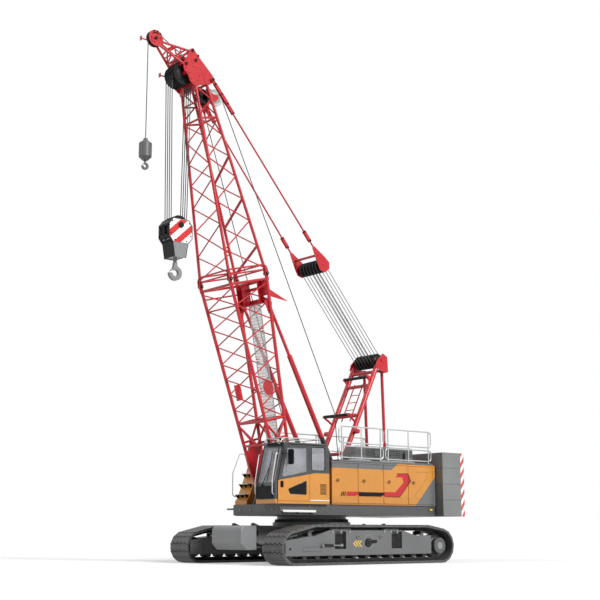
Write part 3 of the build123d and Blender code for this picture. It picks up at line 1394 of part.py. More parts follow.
# Main hook block, its hook, and the auxiliary hook, hung under their sheaves
hook_x = boom_point(head_sheave_s, head_sheave_t, 0).X
block_sheave_z = main_hook_top_z - hook_sheave_radius
cheek_half = [(0, 9880), (260, 9880), (400, 9700), (400, 9330), (260, 9160), (190, 8740), (0, 8740)]
beam_low_z = 8760.0
beam_high_z = 8960.0
with BuildPart() as hook_block:
    cheek = [(hook_x + x, z) for x, z in cheek_half[1:-1]]
    cheek += [(hook_x - x, z) for x, z in reversed(cheek_half[1:-1])]
    for y in (hook_cheek_y, -hook_cheek_y):
        plate(side_plane(y), cheek, hook_cheek_plate)
    shaft_reach = hook_cheek_y + 40
    rod((hook_x, -shaft_reach, block_sheave_z), (hook_x, shaft_reach, block_sheave_z), hook_shaft_radius)
    for x in (hook_x - 300, hook_x + 300):
        rod((x, -hook_cheek_y, 9280), (x, hook_cheek_y, 9280), 30)
    block((hook_x - 150, hook_x + 150), (-hook_cheek_y, hook_cheek_y), (beam_low_z, beam_high_z))
    with BuildSketch(Plane.XY.offset(beam_low_z - 10)) as shank_bore:
        with Locations((hook_x, 0)):
            Circle(hook_shank_radius + pin_gap)
    extrude(shank_bore.sketch, amount=beam_high_z - beam_low_z + 20, mode=Mode.SUBTRACT)
finish(hook_block, "hook_block")

with BuildPart() as hook_sheaves:
    pulley((hook_x, 0, block_sheave_z), hook_sheave_radius, hook_shaft_radius + pin_gap, hook_sheave_count,
           head_sheave_pitch)
finish(hook_sheaves, "hook_sheaves")


def hook_shape(x, bend_z, throat, body, thickness):
    """Add a crane hook: a round bend that opens to the front and a neck above it."""
    with BuildSketch(side_plane(0)) as face:
        with Locations((x, bend_z)):
            Circle(throat + body)
        with Locations((x + 6, bend_z + 8)):
            Circle(throat, mode=Mode.SUBTRACT)
        with Locations((x + throat + body * 0.4, bend_z + throat * 0.95)):
            Rectangle(2 * throat, throat * 1.9, mode=Mode.SUBTRACT)
        with BuildLine():
            neck_z = bend_z + throat + body * 1.9
            Polyline((x - body * 0.62, bend_z + throat * 0.9), (x - body * 0.45, neck_z),
                     (x + body * 0.45, neck_z), (x + body * 0.5, bend_z + throat * 1.02), close=True)
        make_face()
    extrude(face.sketch, amount=thickness / 2, both=True)


with BuildPart() as main_hook:
    hook_shape(hook_x, main_bend_z, 105, 110, 110)
    rod((hook_x, 0, main_bend_z + 250), (hook_x, 0, beam_high_z + fork_gap), hook_shank_radius)
    rod((hook_x, 0, beam_high_z + fork_gap), (hook_x, 0, beam_high_z + 70), 95)
finish(main_hook, "main_hook")

aux_x = boom_point(tip_sheave_s, tip_sheave_t, 0).X + tip_sheave_radius - 20
with BuildPart() as aux_hook:
    with BuildSketch(Plane(origin=(aux_x, 0, aux_hook_top_z), x_dir=(1, 0, 0), z_dir=(0, -1, 0))):
        with BuildLine():
            Polyline((0, 0), (60, 0), (75, -60), (190, -150), (190, -560), (90, -660), (0, -660), close=True)
        make_face()
    revolve(axis=Axis((aux_x, 0, aux_hook_top_z), (0, 0, 1)), revolution_arc=360)
    hook_shape(aux_x, aux_bend_z, 55, 55, 60)
    rod((aux_x, 0, aux_bend_z + 110), (aux_x, 0, aux_hook_top_z - 640), 28)
finish(aux_hook, "aux_hook")

# Mesh walkway on the boom's rear face
with BuildPart() as boom_walkway:
    mesh_low = lacing_radius + seat_gap
    mesh_high = mesh_low + walkway_mesh
    with BuildSketch(boom_plane(walkway_half_width)):
        with BuildLine():
            Polyline((mesh_low_s, half_depth(mesh_low_s) + mesh_low),
                     (mesh_high_s, half_depth(mesh_high_s) + mesh_low),
                     (mesh_high_s, half_depth(mesh_high_s) + mesh_high),
                     (mesh_low_s, half_depth(mesh_low_s) + mesh_high), close=True)
        make_face()
    extrude(amount=2 * walkway_half_width)
finish(boom_walkway, "boom_walkway")
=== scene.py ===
import json
from math import acos, atan2, cos, hypot, pi, radians, sin

import bmesh
import bpy
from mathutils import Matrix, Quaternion, Vector


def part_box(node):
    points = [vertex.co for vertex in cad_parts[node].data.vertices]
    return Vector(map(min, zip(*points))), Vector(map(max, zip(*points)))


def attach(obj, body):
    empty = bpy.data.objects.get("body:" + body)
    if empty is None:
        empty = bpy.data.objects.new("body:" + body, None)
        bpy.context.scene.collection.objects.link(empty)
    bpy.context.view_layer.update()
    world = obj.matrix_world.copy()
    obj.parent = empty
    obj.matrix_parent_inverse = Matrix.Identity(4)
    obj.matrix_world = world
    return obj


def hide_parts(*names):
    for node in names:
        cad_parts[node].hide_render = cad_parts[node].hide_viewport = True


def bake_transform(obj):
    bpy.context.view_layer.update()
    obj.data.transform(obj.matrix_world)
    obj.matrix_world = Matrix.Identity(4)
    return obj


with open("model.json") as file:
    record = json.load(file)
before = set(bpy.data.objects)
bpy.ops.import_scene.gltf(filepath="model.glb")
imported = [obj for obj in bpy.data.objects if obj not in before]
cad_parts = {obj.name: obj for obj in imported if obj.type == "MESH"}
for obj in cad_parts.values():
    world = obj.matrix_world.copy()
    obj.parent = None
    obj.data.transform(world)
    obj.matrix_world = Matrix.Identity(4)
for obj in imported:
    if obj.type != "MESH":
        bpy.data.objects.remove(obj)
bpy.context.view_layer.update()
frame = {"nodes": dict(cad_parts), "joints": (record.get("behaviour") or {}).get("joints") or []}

joints = {joint["name"]: joint for joint in frame["joints"]}


def pinOf(name):
    return Vector(joints[name]["pos_m"])


# The boom's own coordinates: s along it from the foot pin, t square to it towards the rear
boomAngle = radians(75.46)
boomFoot = pinOf("boom_luff")
boomAlong = Vector((cos(boomAngle), 0, sin(boomAngle)))
boomRear = Vector((-sin(boomAngle), 0, cos(boomAngle)))
stayAlong = Vector(joints["stay_reeve"]["axis"])
forward, across, upward = Vector((1, 0, 0)), Vector((0, 1, 0)), Vector((0, 0, 1))


def boomPoint(s, t, y=0.0):
    return boomFoot + boomAlong * s + boomRear * t + across * y


# Camera, floor and light
camera = dict(place=(23.777, 28.514, 0.874), yaw=230.706, pitch=11.081, roll=-0.064, lens=71.51,
    sensor=36.0, farClip=500.0)
studio = dict(floorSize=160.0, floorColour=(0.80, 0.80, 0.80), floorLift=0.33, worldLight=0.23,
    sunStrength=3.1, sunAngle=14.0, sunFrom=(-0.1, 0.95, 0.58),
    fillStrength=0.7, fillAngle=24.0, fillFrom=(0.9, -0.35, 0.75))


def addCamera():
    yaw, pitch = radians(camera["yaw"]), radians(camera["pitch"])
    look = Vector((cos(yaw) * cos(pitch), sin(yaw) * cos(pitch), sin(pitch)))
    data = bpy.data.cameras.new("camera")
    data.lens = camera["lens"]
    data.sensor_width = camera["sensor"]
    data.clip_end = camera["farClip"]
    obj = bpy.data.objects.new("camera", data)
    bpy.context.scene.collection.objects.link(obj)
    obj.location = camera["place"]
    turn = look.to_track_quat("-Z", "Y") @ Quaternion((0, 0, 1), radians(camera["roll"]))
    obj.rotation_mode = "QUATERNION"
    obj.rotation_quaternion = turn
    bpy.context.scene.camera = obj


def addSun(name, strength, angle, fromDirection):
    data = bpy.data.lights.new(name, "SUN")
    data.energy = strength
    data.angle = radians(angle)
    obj = bpy.data.objects.new(name, data)
    bpy.context.scene.collection.objects.link(obj)
    obj.rotation_euler = Vector(fromDirection).to_track_quat("Z", "Y").to_euler()


def seenDirectly(tree):
    # 1 for rays from the camera, from gloss and through glass
    path = tree.nodes.new("ShaderNodeLightPath")
    first = mathNode(tree, "MAXIMUM", path.outputs["Is Camera Ray"], path.outputs["Is Glossy Ray"])
    return mathNode(tree, "MAXIMUM", first, path.outputs["Is Transmission Ray"])


def addStudio():
    bpy.context.scene.view_settings.view_transform = "Standard"
    world = bpy.data.worlds.new("studio")
    bpy.context.scene.world = world
    world.use_nodes = True
    tree = world.node_tree
    background = tree.nodes["Background"]
    background.inputs["Color"].default_value = (1, 1, 1, 1)
    seen = seenDirectly(tree)
    strength = mathNode(tree, "MULTIPLY_ADD", seen, 1.0 - studio["worldLight"], studio["worldLight"])
    tree.links.new(strength, background.inputs["Strength"])
    half = studio["floorSize"] / 2
    floor = newMesh()
    corners = [floor.verts.new((x, y, 0)) for x, y in ((-half, -half), (half, -half), (half, half), (-half, half))]
    floor.faces.new(corners)
    obj = linkMesh(floor, "studioFloor", floorPaint())
    # The key light comes from the crane's left, the fill from its front right
    addSun("keySun", studio["sunStrength"], studio["sunAngle"], studio["sunFrom"])
    addSun("fillSun", studio["fillStrength"], studio["fillAngle"], studio["fillFrom"])


# Shader helpers
def toLinear(red, green, blue):
    values = []
    for value in (red, green, blue):
        share = value / 255.0
        values.append(share / 12.92 if share <= 0.04045 else ((share + 0.055) / 1.055) ** 2.4)
    return (*values, 1.0)


def feed(tree, socket, value):
    if isinstance(value, bpy.types.NodeSocket):
        tree.links.new(value, socket)
    else:
        socket.default_value = value


def mathNode(tree, operation, first, second=0.0, third=0.0):
    node = tree.nodes.new("ShaderNodeMath")
    node.operation = operation
    for socket, value in zip(node.inputs, (first, second, third)):
        feed(tree, socket, value)
    return node.outputs[0]


def mixColour(tree, share, first, second, blend="MIX"):
    node = tree.nodes.new("ShaderNodeMix")
    node.data_type = "RGBA"
    node.blend_type = blend
    colours = [socket for socket in node.inputs if socket.type == "RGBA"]
    feed(tree, node.inputs["Factor"], share)
    feed(tree, colours[0], first)
    feed(tree, colours[1], second)
    return [socket for socket in node.outputs if socket.type == "RGBA"][0]


def noiseNode(tree, place, scale, detail=4.0, roughness=0.55):
    node = tree.nodes.new("ShaderNodeTexNoise")
    tree.links.new(place, node.inputs["Vector"])
    node.inputs["Scale"].default_value = scale
    node.inputs["Detail"].default_value = detail
    node.inputs["Roughness"].default_value = roughness
    return node.outputs["Fac"]


def rangeNode(tree, value, fromLow, fromHigh, toLow=0.0, toHigh=1.0):
    node = tree.nodes.new("ShaderNodeMapRange")
    for name, number in (("From Min", fromLow), ("From Max", fromHigh), ("To Min", toLow), ("To Max", toHigh)):
        feed(tree, node.inputs[name], number)
    feed(tree, node.inputs["Value"], value)
    return node.outputs["Result"]


def newGroup(name, inputs, outputs):
    group = bpy.data.node_groups.new(name, "ShaderNodeTree")
    kinds = dict(value="NodeSocketFloat", colour="NodeSocketColor", vector="NodeSocketVector")
    for label, kind, start in inputs:
        socket = group.interface.new_socket(name=label, in_out="INPUT", socket_type=kinds[kind])
        socket.default_value = start
    for label, kind in outputs:
        group.interface.new_socket(name=label, in_out="OUTPUT", socket_type=kinds[kind])
    return group, group.nodes.new("NodeGroupInput"), group.nodes.new("NodeGroupOutput")


def useGroup(tree, group, **values):
    node = tree.nodes.new("ShaderNodeGroup")
    node.node_tree = group
    for label, value in values.items():
        feed(tree, node.inputs[label.replace("_", " ")], value)
    return node


def makeWearGroup():
    # Paint or metal that varies, with dust on what faces up, worn edges and a fine orange-peel height
    group, given, result = newGroup(
        "surfaceWear",
        [("Colour", "colour", (0.5, 0.5, 0.5, 1)), ("Patch Scale", "value", 1.4), ("Patch Depth", "value", 0.1),
        ("Edge Colour", "colour", (0.6, 0.6, 0.6, 1)), ("Edge Wear", "value", 0.3),
        ("Dust Colour", "colour", (0.42, 0.39, 0.35, 1)), ("Dust", "value", 0.15),
        ("Gloss", "value", 0.4), ("Grain Scale", "value", 90.0)],
        [("Colour", "colour"), ("Roughness", "value"), ("Height", "value")])
    place = group.nodes.new("ShaderNodeTexCoord").outputs["Object"]
    geometry = group.nodes.new("ShaderNodeNewGeometry")
    patches = group.nodes.new("ShaderNodeTexNoise")
    group.links.new(place, patches.inputs["Vector"])
    group.links.new(given.outputs["Patch Scale"], patches.inputs["Scale"])
    patches.inputs["Detail"].default_value = 5.0
    tone = rangeNode(group, patches.outputs["Fac"], 0.3, 0.7, -1.0, 1.0)
    depth = mathNode(group, "MULTIPLY", tone, given.outputs["Patch Depth"])
    shade = mathNode(group, "MULTIPLY_ADD", depth, 1.0, 1.0)
    toned = mixColour(group, 1.0, given.outputs["Colour"], shade, "MULTIPLY")
    # Edges: where the rounded normal leaves the flat one
    bevel = group.nodes.new("ShaderNodeBevel")
    bevel.samples = 4
    bevel.inputs["Radius"].default_value = 0.008
    dot = group.nodes.new("ShaderNodeVectorMath")
    dot.operation = "DOT_PRODUCT"
    group.links.new(bevel.outputs["Normal"], dot.inputs[0])
    group.links.new(geometry.outputs["Normal"], dot.inputs[1])
    edge = rangeNode(group, dot.outputs["Value"], 0.995, 0.9)
    scratches = rangeNode(group, noiseNode(group, place, 26.0, 6.0), 0.46, 0.62)
    edge = mathNode(group, "MULTIPLY", mathNode(group, "MULTIPLY", edge, scratches), given.outputs["Edge Wear"])
    worn = mixColour(group, edge, toned, given.outputs["Edge Colour"])
    # Dust settles on what faces up
    up = group.nodes.new("ShaderNodeSeparateXYZ")
    group.links.new(geometry.outputs["Normal"], up.inputs[0])
    settle = rangeNode(group, up.outputs["Z"], 0.2, 1.0, 0.25, 1.0)
    drift = rangeNode(group, noiseNode(group, place, 3.2, 6.0, 0.65), 0.35, 0.75)
    dust = mathNode(group, "MULTIPLY", mathNode(group, "MULTIPLY", settle, drift), given.outputs["Dust"])
    final = mixColour(group, dust, worn, given.outputs["Dust Colour"])
    smear = rangeNode(group, noiseNode(group, place, 7.0, 5.0), 0.3, 0.7, -0.07, 0.07)
    rough = mathNode(group, "ADD", given.outputs["Gloss"], smear)
    rough = mathNode(group, "ADD", rough, mathNode(group, "MULTIPLY", dust, 0.5))
    grain = group.nodes.new("ShaderNodeTexNoise")
    group.links.new(place, grain.inputs["Vector"])
    group.links.new(given.outputs["Grain Scale"], grain.inputs["Scale"])
    grain.inputs["Detail"].default_value = 2.0
    group.links.new(final, result.inputs["Colour"])
    group.links.new(rough, result.inputs["Roughness"])
    group.links.new(grain.outputs["Fac"], result.inputs["Height"])
    return group


def makeHalfPlaneGroup():
    # 1 where the place, measured along a direction, is below an offset
    group, given, result = newGroup("halfPlane", [("Direction", "vector", (0, 0, 1)), ("Offset", "value", 0.0)],
        [("Mask", "value")])
    place = group.nodes.new("ShaderNodeTexCoord").outputs["Object"]
    dot = group.nodes.new("ShaderNodeVectorMath")
    dot.operation = "DOT_PRODUCT"
    group.links.new(place, dot.inputs[0])
    group.links.new(given.outputs["Direction"], dot.inputs[1])
    gap = mathNode(group, "SUBTRACT", given.outputs["Offset"], dot.outputs["Value"])
    group.links.new(rangeNode(group, gap, -0.001, 0.001), result.inputs["Mask"])
    return group


def makeStripeGroup():
    # Even stripes square to a direction; the share of each pitch that is marked is the width
    group, given, result = newGroup(
        "evenStripes", [("Direction", "vector", (0, 0, 1)), ("Pitch", "value", 0.1), ("Width", "value", 0.5)],
        [("Mask", "value")])
    place = group.nodes.new("ShaderNodeTexCoord").outputs["Object"]
    dot = group.nodes.new("ShaderNodeVectorMath")
    dot.operation = "DOT_PRODUCT"
    group.links.new(place, dot.inputs[0])
    group.links.new(given.outputs["Direction"], dot.inputs[1])
    turns = mathNode(group, "DIVIDE", dot.outputs["Value"], given.outputs["Pitch"])
    share = mathNode(group, "FRACT", mathNode(group, "ADD", turns, 500.0))
    gap = mathNode(group, "SUBTRACT", given.outputs["Width"], share)
    group.links.new(rangeNode(group, gap, -0.01, 0.01), result.inputs["Mask"])
    return group


def makeStrandGroup():
    # Twisted strands of a wire rope or a knurl, as a height
    group, given, result = newGroup("ropeStrands", [("Pitch", "value", 0.05)], [("Height", "value")])
    place = group.nodes.new("ShaderNodeTexCoord").outputs["Object"]
    parts = group.nodes.new("ShaderNodeSeparateXYZ")
    group.links.new(place, parts.inputs[0])
    sideways = mathNode(group, "ADD", parts.outputs["X"], parts.outputs["Y"])
    slanted = mathNode(group, "MULTIPLY_ADD", sideways, 1.6, parts.outputs["Z"])
    turns = mathNode(group, "DIVIDE", slanted, given.outputs["Pitch"])
    wave = mathNode(group, "SINE", mathNode(group, "MULTIPLY", turns, 2 * pi))
    group.links.new(rangeNode(group, wave, -1.0, 1.0), result.inputs["Height"])
    return group


wearGroup = makeWearGroup()
halfPlane = makeHalfPlaneGroup()
evenStripes = makeStripeGroup()
ropeStrands = makeStrandGroup()
print("shader groups made")

# Finishes: colour as it looks, then how it wears. A row without a shine has the usual one.
finishKeys = ("colour", "gloss", "metal", "dust", "edge", "patch", "edgeColour", "bump", "coat", "shine")
finishRows = dict(
    redPaint=((190, 26, 38), 0.34, 0.0, 0.05, 0.25, 0.1, (120, 30, 30), 0.02, 0.25),
    orangePaint=((205, 138, 58), 0.32, 0.0, 0.05, 0.2, 0.05, (150, 110, 70), 0.015, 0.3),
    greyPaint=((104, 105, 106), 0.42, 0.0, 0.1, 0.3, 0.08, (165, 165, 162), 0.03, 0.1),
    lightGreyPaint=((132, 134, 135), 0.42, 0.0, 0.08, 0.3, 0.06, (190, 190, 186), 0.03, 0.1),
    # Darker copy of the orange paint for the latches: painted shade
    latchShadedOrange=((140, 92, 42), 0.4, 0.0, 0.03, 0.1, 0.05, (110, 80, 50), 0.02, 0.1),
    # Darker copy of the grey paint for the deck: painted shade under the upper works
    deckShadedGrey=((78, 79, 80), 0.42, 0.0, 0.08, 0.3, 0.08, (150, 150, 148), 0.03, 0.1),
    framePaint=((102, 103, 104), 0.42, 0.0, 0.08, 0.3, 0.08, (175, 175, 172), 0.03, 0.1),
    signRed=((240, 78, 84), 0.4, 0.0, 0.03, 0.1, 0.04, (200, 60, 60), 0.02, 0.1),
    hookGrey=((92, 93, 95), 0.4, 0.2, 0.06, 0.3, 0.1, (160, 160, 156), 0.05, 0.1),
    darkPaint=((66, 67, 69), 0.38, 0.0, 0.06, 0.2, 0.08, (120, 120, 118), 0.02, 0.15),
    weightPaint=((120, 123, 122), 0.5, 0.0, 0.1, 0.35, 0.09, (178, 176, 170), 0.08, 0.0),
    # Track steel darkened partly for dirt and partly as painted shade of the shadowed track sides
    trackSteel=((84, 85, 86), 0.46, 0.35, 0.12, 0.55, 0.16, (205, 203, 198), 0.12, 0.0),
    darkSteel=((34, 34, 35), 0.5, 0.1, 0.14, 0.45, 0.14, (150, 148, 142), 0.08, 0.0, 0.15),
    bareSteel=((158, 159, 158), 0.36, 0.75, 0.08, 0.4, 0.12, (215, 214, 210), 0.05, 0.0),
    sheaveBlack=((20, 21, 22), 0.45, 0.0, 0.1, 0.5, 0.12, (120, 118, 112), 0.05, 0.0, 0.15),
    paleMesh=((214, 216, 216), 0.5, 0.1, 0.03, 0.0, 0.05, (225, 225, 222), 0.04, 0.0),
    galvanised=((190, 192, 193), 0.4, 0.6, 0.05, 0.2, 0.14, (225, 225, 222), 0.04, 0.0),
    whitePaint=((236, 236, 232), 0.38, 0.0, 0.08, 0.2, 0.03, (180, 180, 176), 0.02, 0.1),
    blackTrim=((18, 18, 20), 0.55, 0.0, 0.05, 0.1, 0.08, (60, 60, 60), 0.06, 0.0, 0.15),
    seatCloth=((48, 49, 53), 0.85, 0.0, 0.06, 0.0, 0.1, (60, 60, 60), 0.35, 0.0),
    yellowLamp=((236, 196, 40), 0.2, 0.0, 0.03, 0.0, 0.05, (200, 160, 40), 0.02, 0.5),
    lampLens=((226, 229, 230), 0.14, 0.2, 0.03, 0.0, 0.05, (200, 200, 200), 0.05, 0.6),
)
usualShine = 0.4
finishes = {name: dict(zip(finishKeys, row)) for name, row in finishRows.items()}


def newMaterial(name):
    material = bpy.data.materials.new(name)
    material.use_nodes = True
    return material, material.node_tree, material.node_tree.nodes["Principled BSDF"]


def dressFinish(tree, shader, finish, colour=None, height=None):
    wear = useGroup(tree, wearGroup, Colour=colour or toLinear(*finish["colour"]), Patch_Depth=finish["patch"],
        Edge_Colour=toLinear(*finish["edgeColour"]), Edge_Wear=finish["edge"], Dust=finish["dust"],
        Gloss=finish["gloss"])
    tree.links.new(wear.outputs["Colour"], shader.inputs["Base Color"])
    tree.links.new(wear.outputs["Roughness"], shader.inputs["Roughness"])
    shader.inputs["Metallic"].default_value = finish["metal"]
    shader.inputs["Coat Weight"].default_value = finish["coat"]
    shader.inputs["Coat Roughness"].default_value = 0.18
    shader.inputs["Specular IOR Level"].default_value = finish.get("shine", usualShine)
    bump = tree.nodes.new("ShaderNodeBump")
    bump.inputs["Strength"].default_value = min(1.0, finish["bump"] * 4)
    bump.inputs["Distance"].default_value = 0.002
    tree.links.new(height or wear.outputs["Height"], bump.inputs["Height"])
    tree.links.new(bump.outputs["Normal"], shader.inputs["Normal"])


def makeFinish(name):
    material, tree, shader = newMaterial(name)
    dressFinish(tree, shader, finishes[name])
    return material


def below(tree, direction, offset):
    return useGroup(tree, halfPlane, Direction=direction, Offset=offset).outputs["Mask"]


def allOf(tree, *masks):
    result = masks[0]
    for mask in masks[1:]:
        result = mathNode(tree, "MINIMUM", result, mask)
    return result


def anyOf(tree, *masks):
    result = masks[0]
    for mask in masks[1:]:
        result = mathNode(tree, "MAXIMUM", result, mask)
    return result


# Where the paint changes on the cab and the house, and where the house's painted shade starts, in the crane's frame
cabTones = dict(beltSlope=0.168, beltFrontZ=2.357, beltFrontX=2.661, beltTopZ=2.592, pillarX=2.64,
    stripTopZ=1.83)
houseTones = dict(bandZ=2.785, bandEndX=-1.884, bandSlant=1.38, rearX=-3.66, rearZ=2.5,
    rearSlant=0.972, creaseZ=1.94, lowZ=1.765)


def makeCabPaint():
    # Orange below the belt line and in the strip under the windscreen, dark grey above
    material, tree, shader = newMaterial("cabPaint")
    tone = cabTones
    beltOffset = tone["beltFrontZ"] + tone["beltSlope"] * tone["beltFrontX"]
    lower = allOf(tree, below(tree, (tone["beltSlope"], 0, 1), beltOffset),
        below(tree, (0, 0, 1), tone["beltTopZ"]))
    side = anyOf(tree, below(tree, (1, 0, 0), tone["pillarX"]), below(tree, (0, 0, 1), tone["stripTopZ"]))
    orange = allOf(tree, lower, side)
    colour = mixColour(tree, orange, toLinear(*finishes["darkPaint"]["colour"]),
        toLinear(*finishes["orangePaint"]["colour"]))
    dressFinish(tree, shader, finishes["orangePaint"], colour=colour)
    return material


def makeHousePaint():
    # Orange sides with a grey band along the top and a grey rear corner behind a slanted line, and painted shade
    # low on the orange
    material, tree, shader = newMaterial("housePaint")
    tone = houseTones
    bandEnd = -tone["bandEndX"] - tone["bandSlant"] * tone["bandZ"]
    band = allOf(tree, below(tree, (0, 0, -1), -tone["bandZ"]), below(tree, (-1, 0, -tone["bandSlant"]), bandEnd))
    rear = below(tree, (1, 0, tone["rearSlant"]), tone["rearX"] + tone["rearSlant"] * tone["rearZ"])
    grey = anyOf(tree, band, rear)
    orange = toLinear(*finishes["orangePaint"]["colour"])
    # Painted shade: the orange is darker below the crease, where the lower panels turn in, and darker still in the
    # lowest band
    shaded = mixColour(tree, mathNode(tree, "MULTIPLY", below(tree, (0, 0, 1), tone["creaseZ"]), 0.10),
        orange, (0.30, 0.12, 0.03, 1))
    shaded = mixColour(tree, mathNode(tree, "MULTIPLY", below(tree, (0, 0, 1), tone["lowZ"]), 0.5),
        shaded, (0.30, 0.10, 0.02, 1))
    colour = mixColour(tree, grey, shaded, toLinear(*finishes["greyPaint"]["colour"]))
    dressFinish(tree, shader, finishes["orangePaint"], colour=colour)
    return material


hazardTones = dict(white=(240, 238, 234), red=(206, 36, 40))


def makeHazardPaint(name, direction, pitch):
    # Diagonal red and white warning stripes
    material, tree, shader = newMaterial(name)
    mask = useGroup(tree, evenStripes, Direction=direction, Pitch=pitch, Width=0.5).outputs["Mask"]
    colour = mixColour(tree, mask, toLinear(*hazardTones["white"]), toLinear(*hazardTones["red"]))
    dressFinish(tree, shader, finishes["whitePaint"], colour=colour)
    return material


springHousing = {"from": 0.22, "to": 0.98, "colour": (40, 40, 42)}


def makeBackstopPaint():
    # Red tube with a black spring housing low down
    material, tree, shader = newMaterial("backstopPaint")
    direction = Vector(joints["backstop_slide"]["axis"])
    foot = pinOf("backstop_swing").dot(direction)
    dark = allOf(tree, below(tree, direction, foot + springHousing["to"]),
        below(tree, -direction, -foot - springHousing["from"]))
    colour = mixColour(tree, dark, toLinear(*finishes["redPaint"]["colour"]), toLinear(*springHousing["colour"]))
    dressFinish(tree, shader, finishes["redPaint"], colour=colour)
    return material


def makeRopeSteel():
    material, tree, shader = newMaterial("ropeSteel")
    strands = useGroup(tree, ropeStrands, Pitch=0.045).outputs["Height"]
    finish = dict(finishes["darkSteel"], colour=(84, 85, 86), bump=0.25)
    dressFinish(tree, shader, finish, height=strands)
    return material


def makeGlass():
    material, tree, shader = newMaterial("windowGlass")
    smudge = rangeNode(tree, noiseNode(tree, tree.nodes.new("ShaderNodeTexCoord").outputs["Object"], 2.5, 6.0),
        0.4, 0.8, 0.10, 0.22)
    shader.inputs["Base Color"].default_value = toLinear(214, 217, 222)
    tree.links.new(smudge, shader.inputs["Roughness"])
    shader.inputs["Metallic"].default_value = 0.0
    shader.inputs["IOR"].default_value = 1.45
    shader.inputs["Transmission Weight"].default_value = 0.72
    return material


def floorPaint():
    # Pale floor that stays white to the eye and keeps the shadow
    material, tree, shader = newMaterial("floorPaint")
    place = tree.nodes.new("ShaderNodeTexCoord").outputs["Object"]
    tint = rangeNode(tree, noiseNode(tree, place, 0.2, 3.0), 0.3, 0.7, 0.0, 1.0)
    low = tuple(value * 0.985 for value in studio["floorColour"]) + (1,)
    colour = mixColour(tree, tint, low, studio["floorColour"] + (1,))
    tree.links.new(colour, shader.inputs["Base Color"])
    shader.inputs["Roughness"].default_value = 0.9
    shader.inputs["Specular IOR Level"].default_value = 0.1
    shader.inputs["Emission Color"].default_value = (1, 1, 1, 1)
    lift = mathNode(tree, "MULTIPLY", seenDirectly(tree), studio["floorLift"])
    tree.links.new(lift, shader.inputs["Emission Strength"])
    return material


materials = {name: makeFinish(name) for name in finishes}
materials["cabPaint"] = makeCabPaint()
materials["housePaint"] = makeHousePaint()
materials["backstopPaint"] = makeBackstopPaint()
materials["ropeSteel"] = makeRopeSteel()
materials["windowGlass"] = makeGlass()
materials["weightStripes"] = makeHazardPaint("weightStripes", (0.75, 0.3, 1.0), 0.34)
materials["hookStripes"] = makeHazardPaint("hookStripes", (0.68, 0, 0.73), 0.34)
print("materials made:", len(materials))

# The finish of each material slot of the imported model, and of the nodes that differ from their slot
slotFinish = dict(red_paint="redPaint", orange_paint="orangePaint", grey_paint="greyPaint",
    light_grey_paint="lightGreyPaint", dark_grey_paint="darkPaint", track_steel="trackSteel",
    weight_paint="weightPaint", bare_steel="bareSteel", sheave_black="sheaveBlack",
    galvanised="galvanised", window_glass="windowGlass", cab_trim="blackTrim")
nodeFinish = dict(cab_shell="cabPaint", cab_door="cabPaint", left_house="housePaint",
    right_house="housePaint", backstop_tubes="backstopPaint", backstop_rods="redPaint",
    boom_joint_pins="blackTrim", deck="deckShadedGrey",
    track_frame_left="framePaint", track_frame_right="framePaint", aux_hook="hookGrey")
for number in range(1, 5):
    nodeFinish[f"house_door_{number}"] = "housePaint"


def dressNodes():
    for name, obj in frame["nodes"].items():
        given = obj.data.materials[0].name.split(".")[0] if obj.data.materials else ""
        finish = nodeFinish.get(name) or slotFinish.get(given)
        if finish is None:
            print("no finish for", name, given)
            finish = "greyPaint"
        obj.data.materials.clear()
        obj.data.materials.append(materials[finish])


# Mesh helpers
def newMesh():
    return bmesh.new()


def linkMesh(mesh, name, material, smoothAngle=35.0):
    data = bpy.data.meshes.new(name)
    bmesh.ops.recalc_face_normals(mesh, faces=mesh.faces[:])
    mesh.to_mesh(data)
    mesh.free()
    data.materials.append(material)
    data.polygons.foreach_set("use_smooth", [True] * len(data.polygons))
    data.set_sharp_from_angle(angle=radians(smoothAngle))
    obj = bpy.data.objects.new(name, data)
    bpy.context.scene.collection.objects.link(obj)
    return obj


def finishPiece(mesh, name, finish, body, bevel=0.0):
    obj = linkMesh(mesh, name, materials[finish])
    if bevel:
        rounding = obj.modifiers.new("roundEdges", "BEVEL")
        rounding.width = bevel
        rounding.segments = 2
        rounding.limit_method = "ANGLE"
        rounding.angle_limit = radians(40)
    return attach(obj, body)


def joinRings(mesh, first, second):
    # Faces between two rings of one count
    for step in range(len(first)):
        after = (step + 1) % len(first)
        mesh.faces.new((first[step], first[after], second[after], second[step]))


def closeSolid(mesh, rings):
    joinRings(mesh, *rings)
    mesh.faces.new(rings[0])
    mesh.faces.new(rings[1])


def circlePoints(centre, side, up, radius, sides):
    # Places round a circle in the plane of two directions
    turns = [2 * pi * step / sides for step in range(sides)]
    return [centre + (side * cos(turn) + up * sin(turn)) * radius for turn in turns]


def addTube(mesh, points, radius, sides=10, closed=False):
    points = [Vector(point) for point in points]
    count = len(points)
    rings = []
    side = None
    for index, point in enumerate(points):
        if closed:
            ahead = points[(index + 1) % count] - points[index - 1]
        else:
            ahead = points[min(index + 1, count - 1)] - points[max(index - 1, 0)]
        ahead.normalize()
        side = ahead.orthogonal() if side is None else side - ahead * side.dot(ahead)
        side.normalize()
        circle = circlePoints(point, side, ahead.cross(side), radius, sides)
        rings.append([mesh.verts.new(place) for place in circle])
    for first, second in zip(rings, rings[1:]):
        joinRings(mesh, first, second)
    if closed:
        joinRings(mesh, rings[-1], rings[0])
    else:
        mesh.faces.new(rings[0])
        mesh.faces.new(rings[-1])


def addBox(mesh, low, high):
    addLocalBox(mesh, Vector((0, 0, 0)), (forward, across, upward), low, high)


def addSpans(mesh, *spans):
    # A box from its spans in x, y and z, each given in either order
    addBox(mesh, [min(span) for span in spans], [max(span) for span in spans])


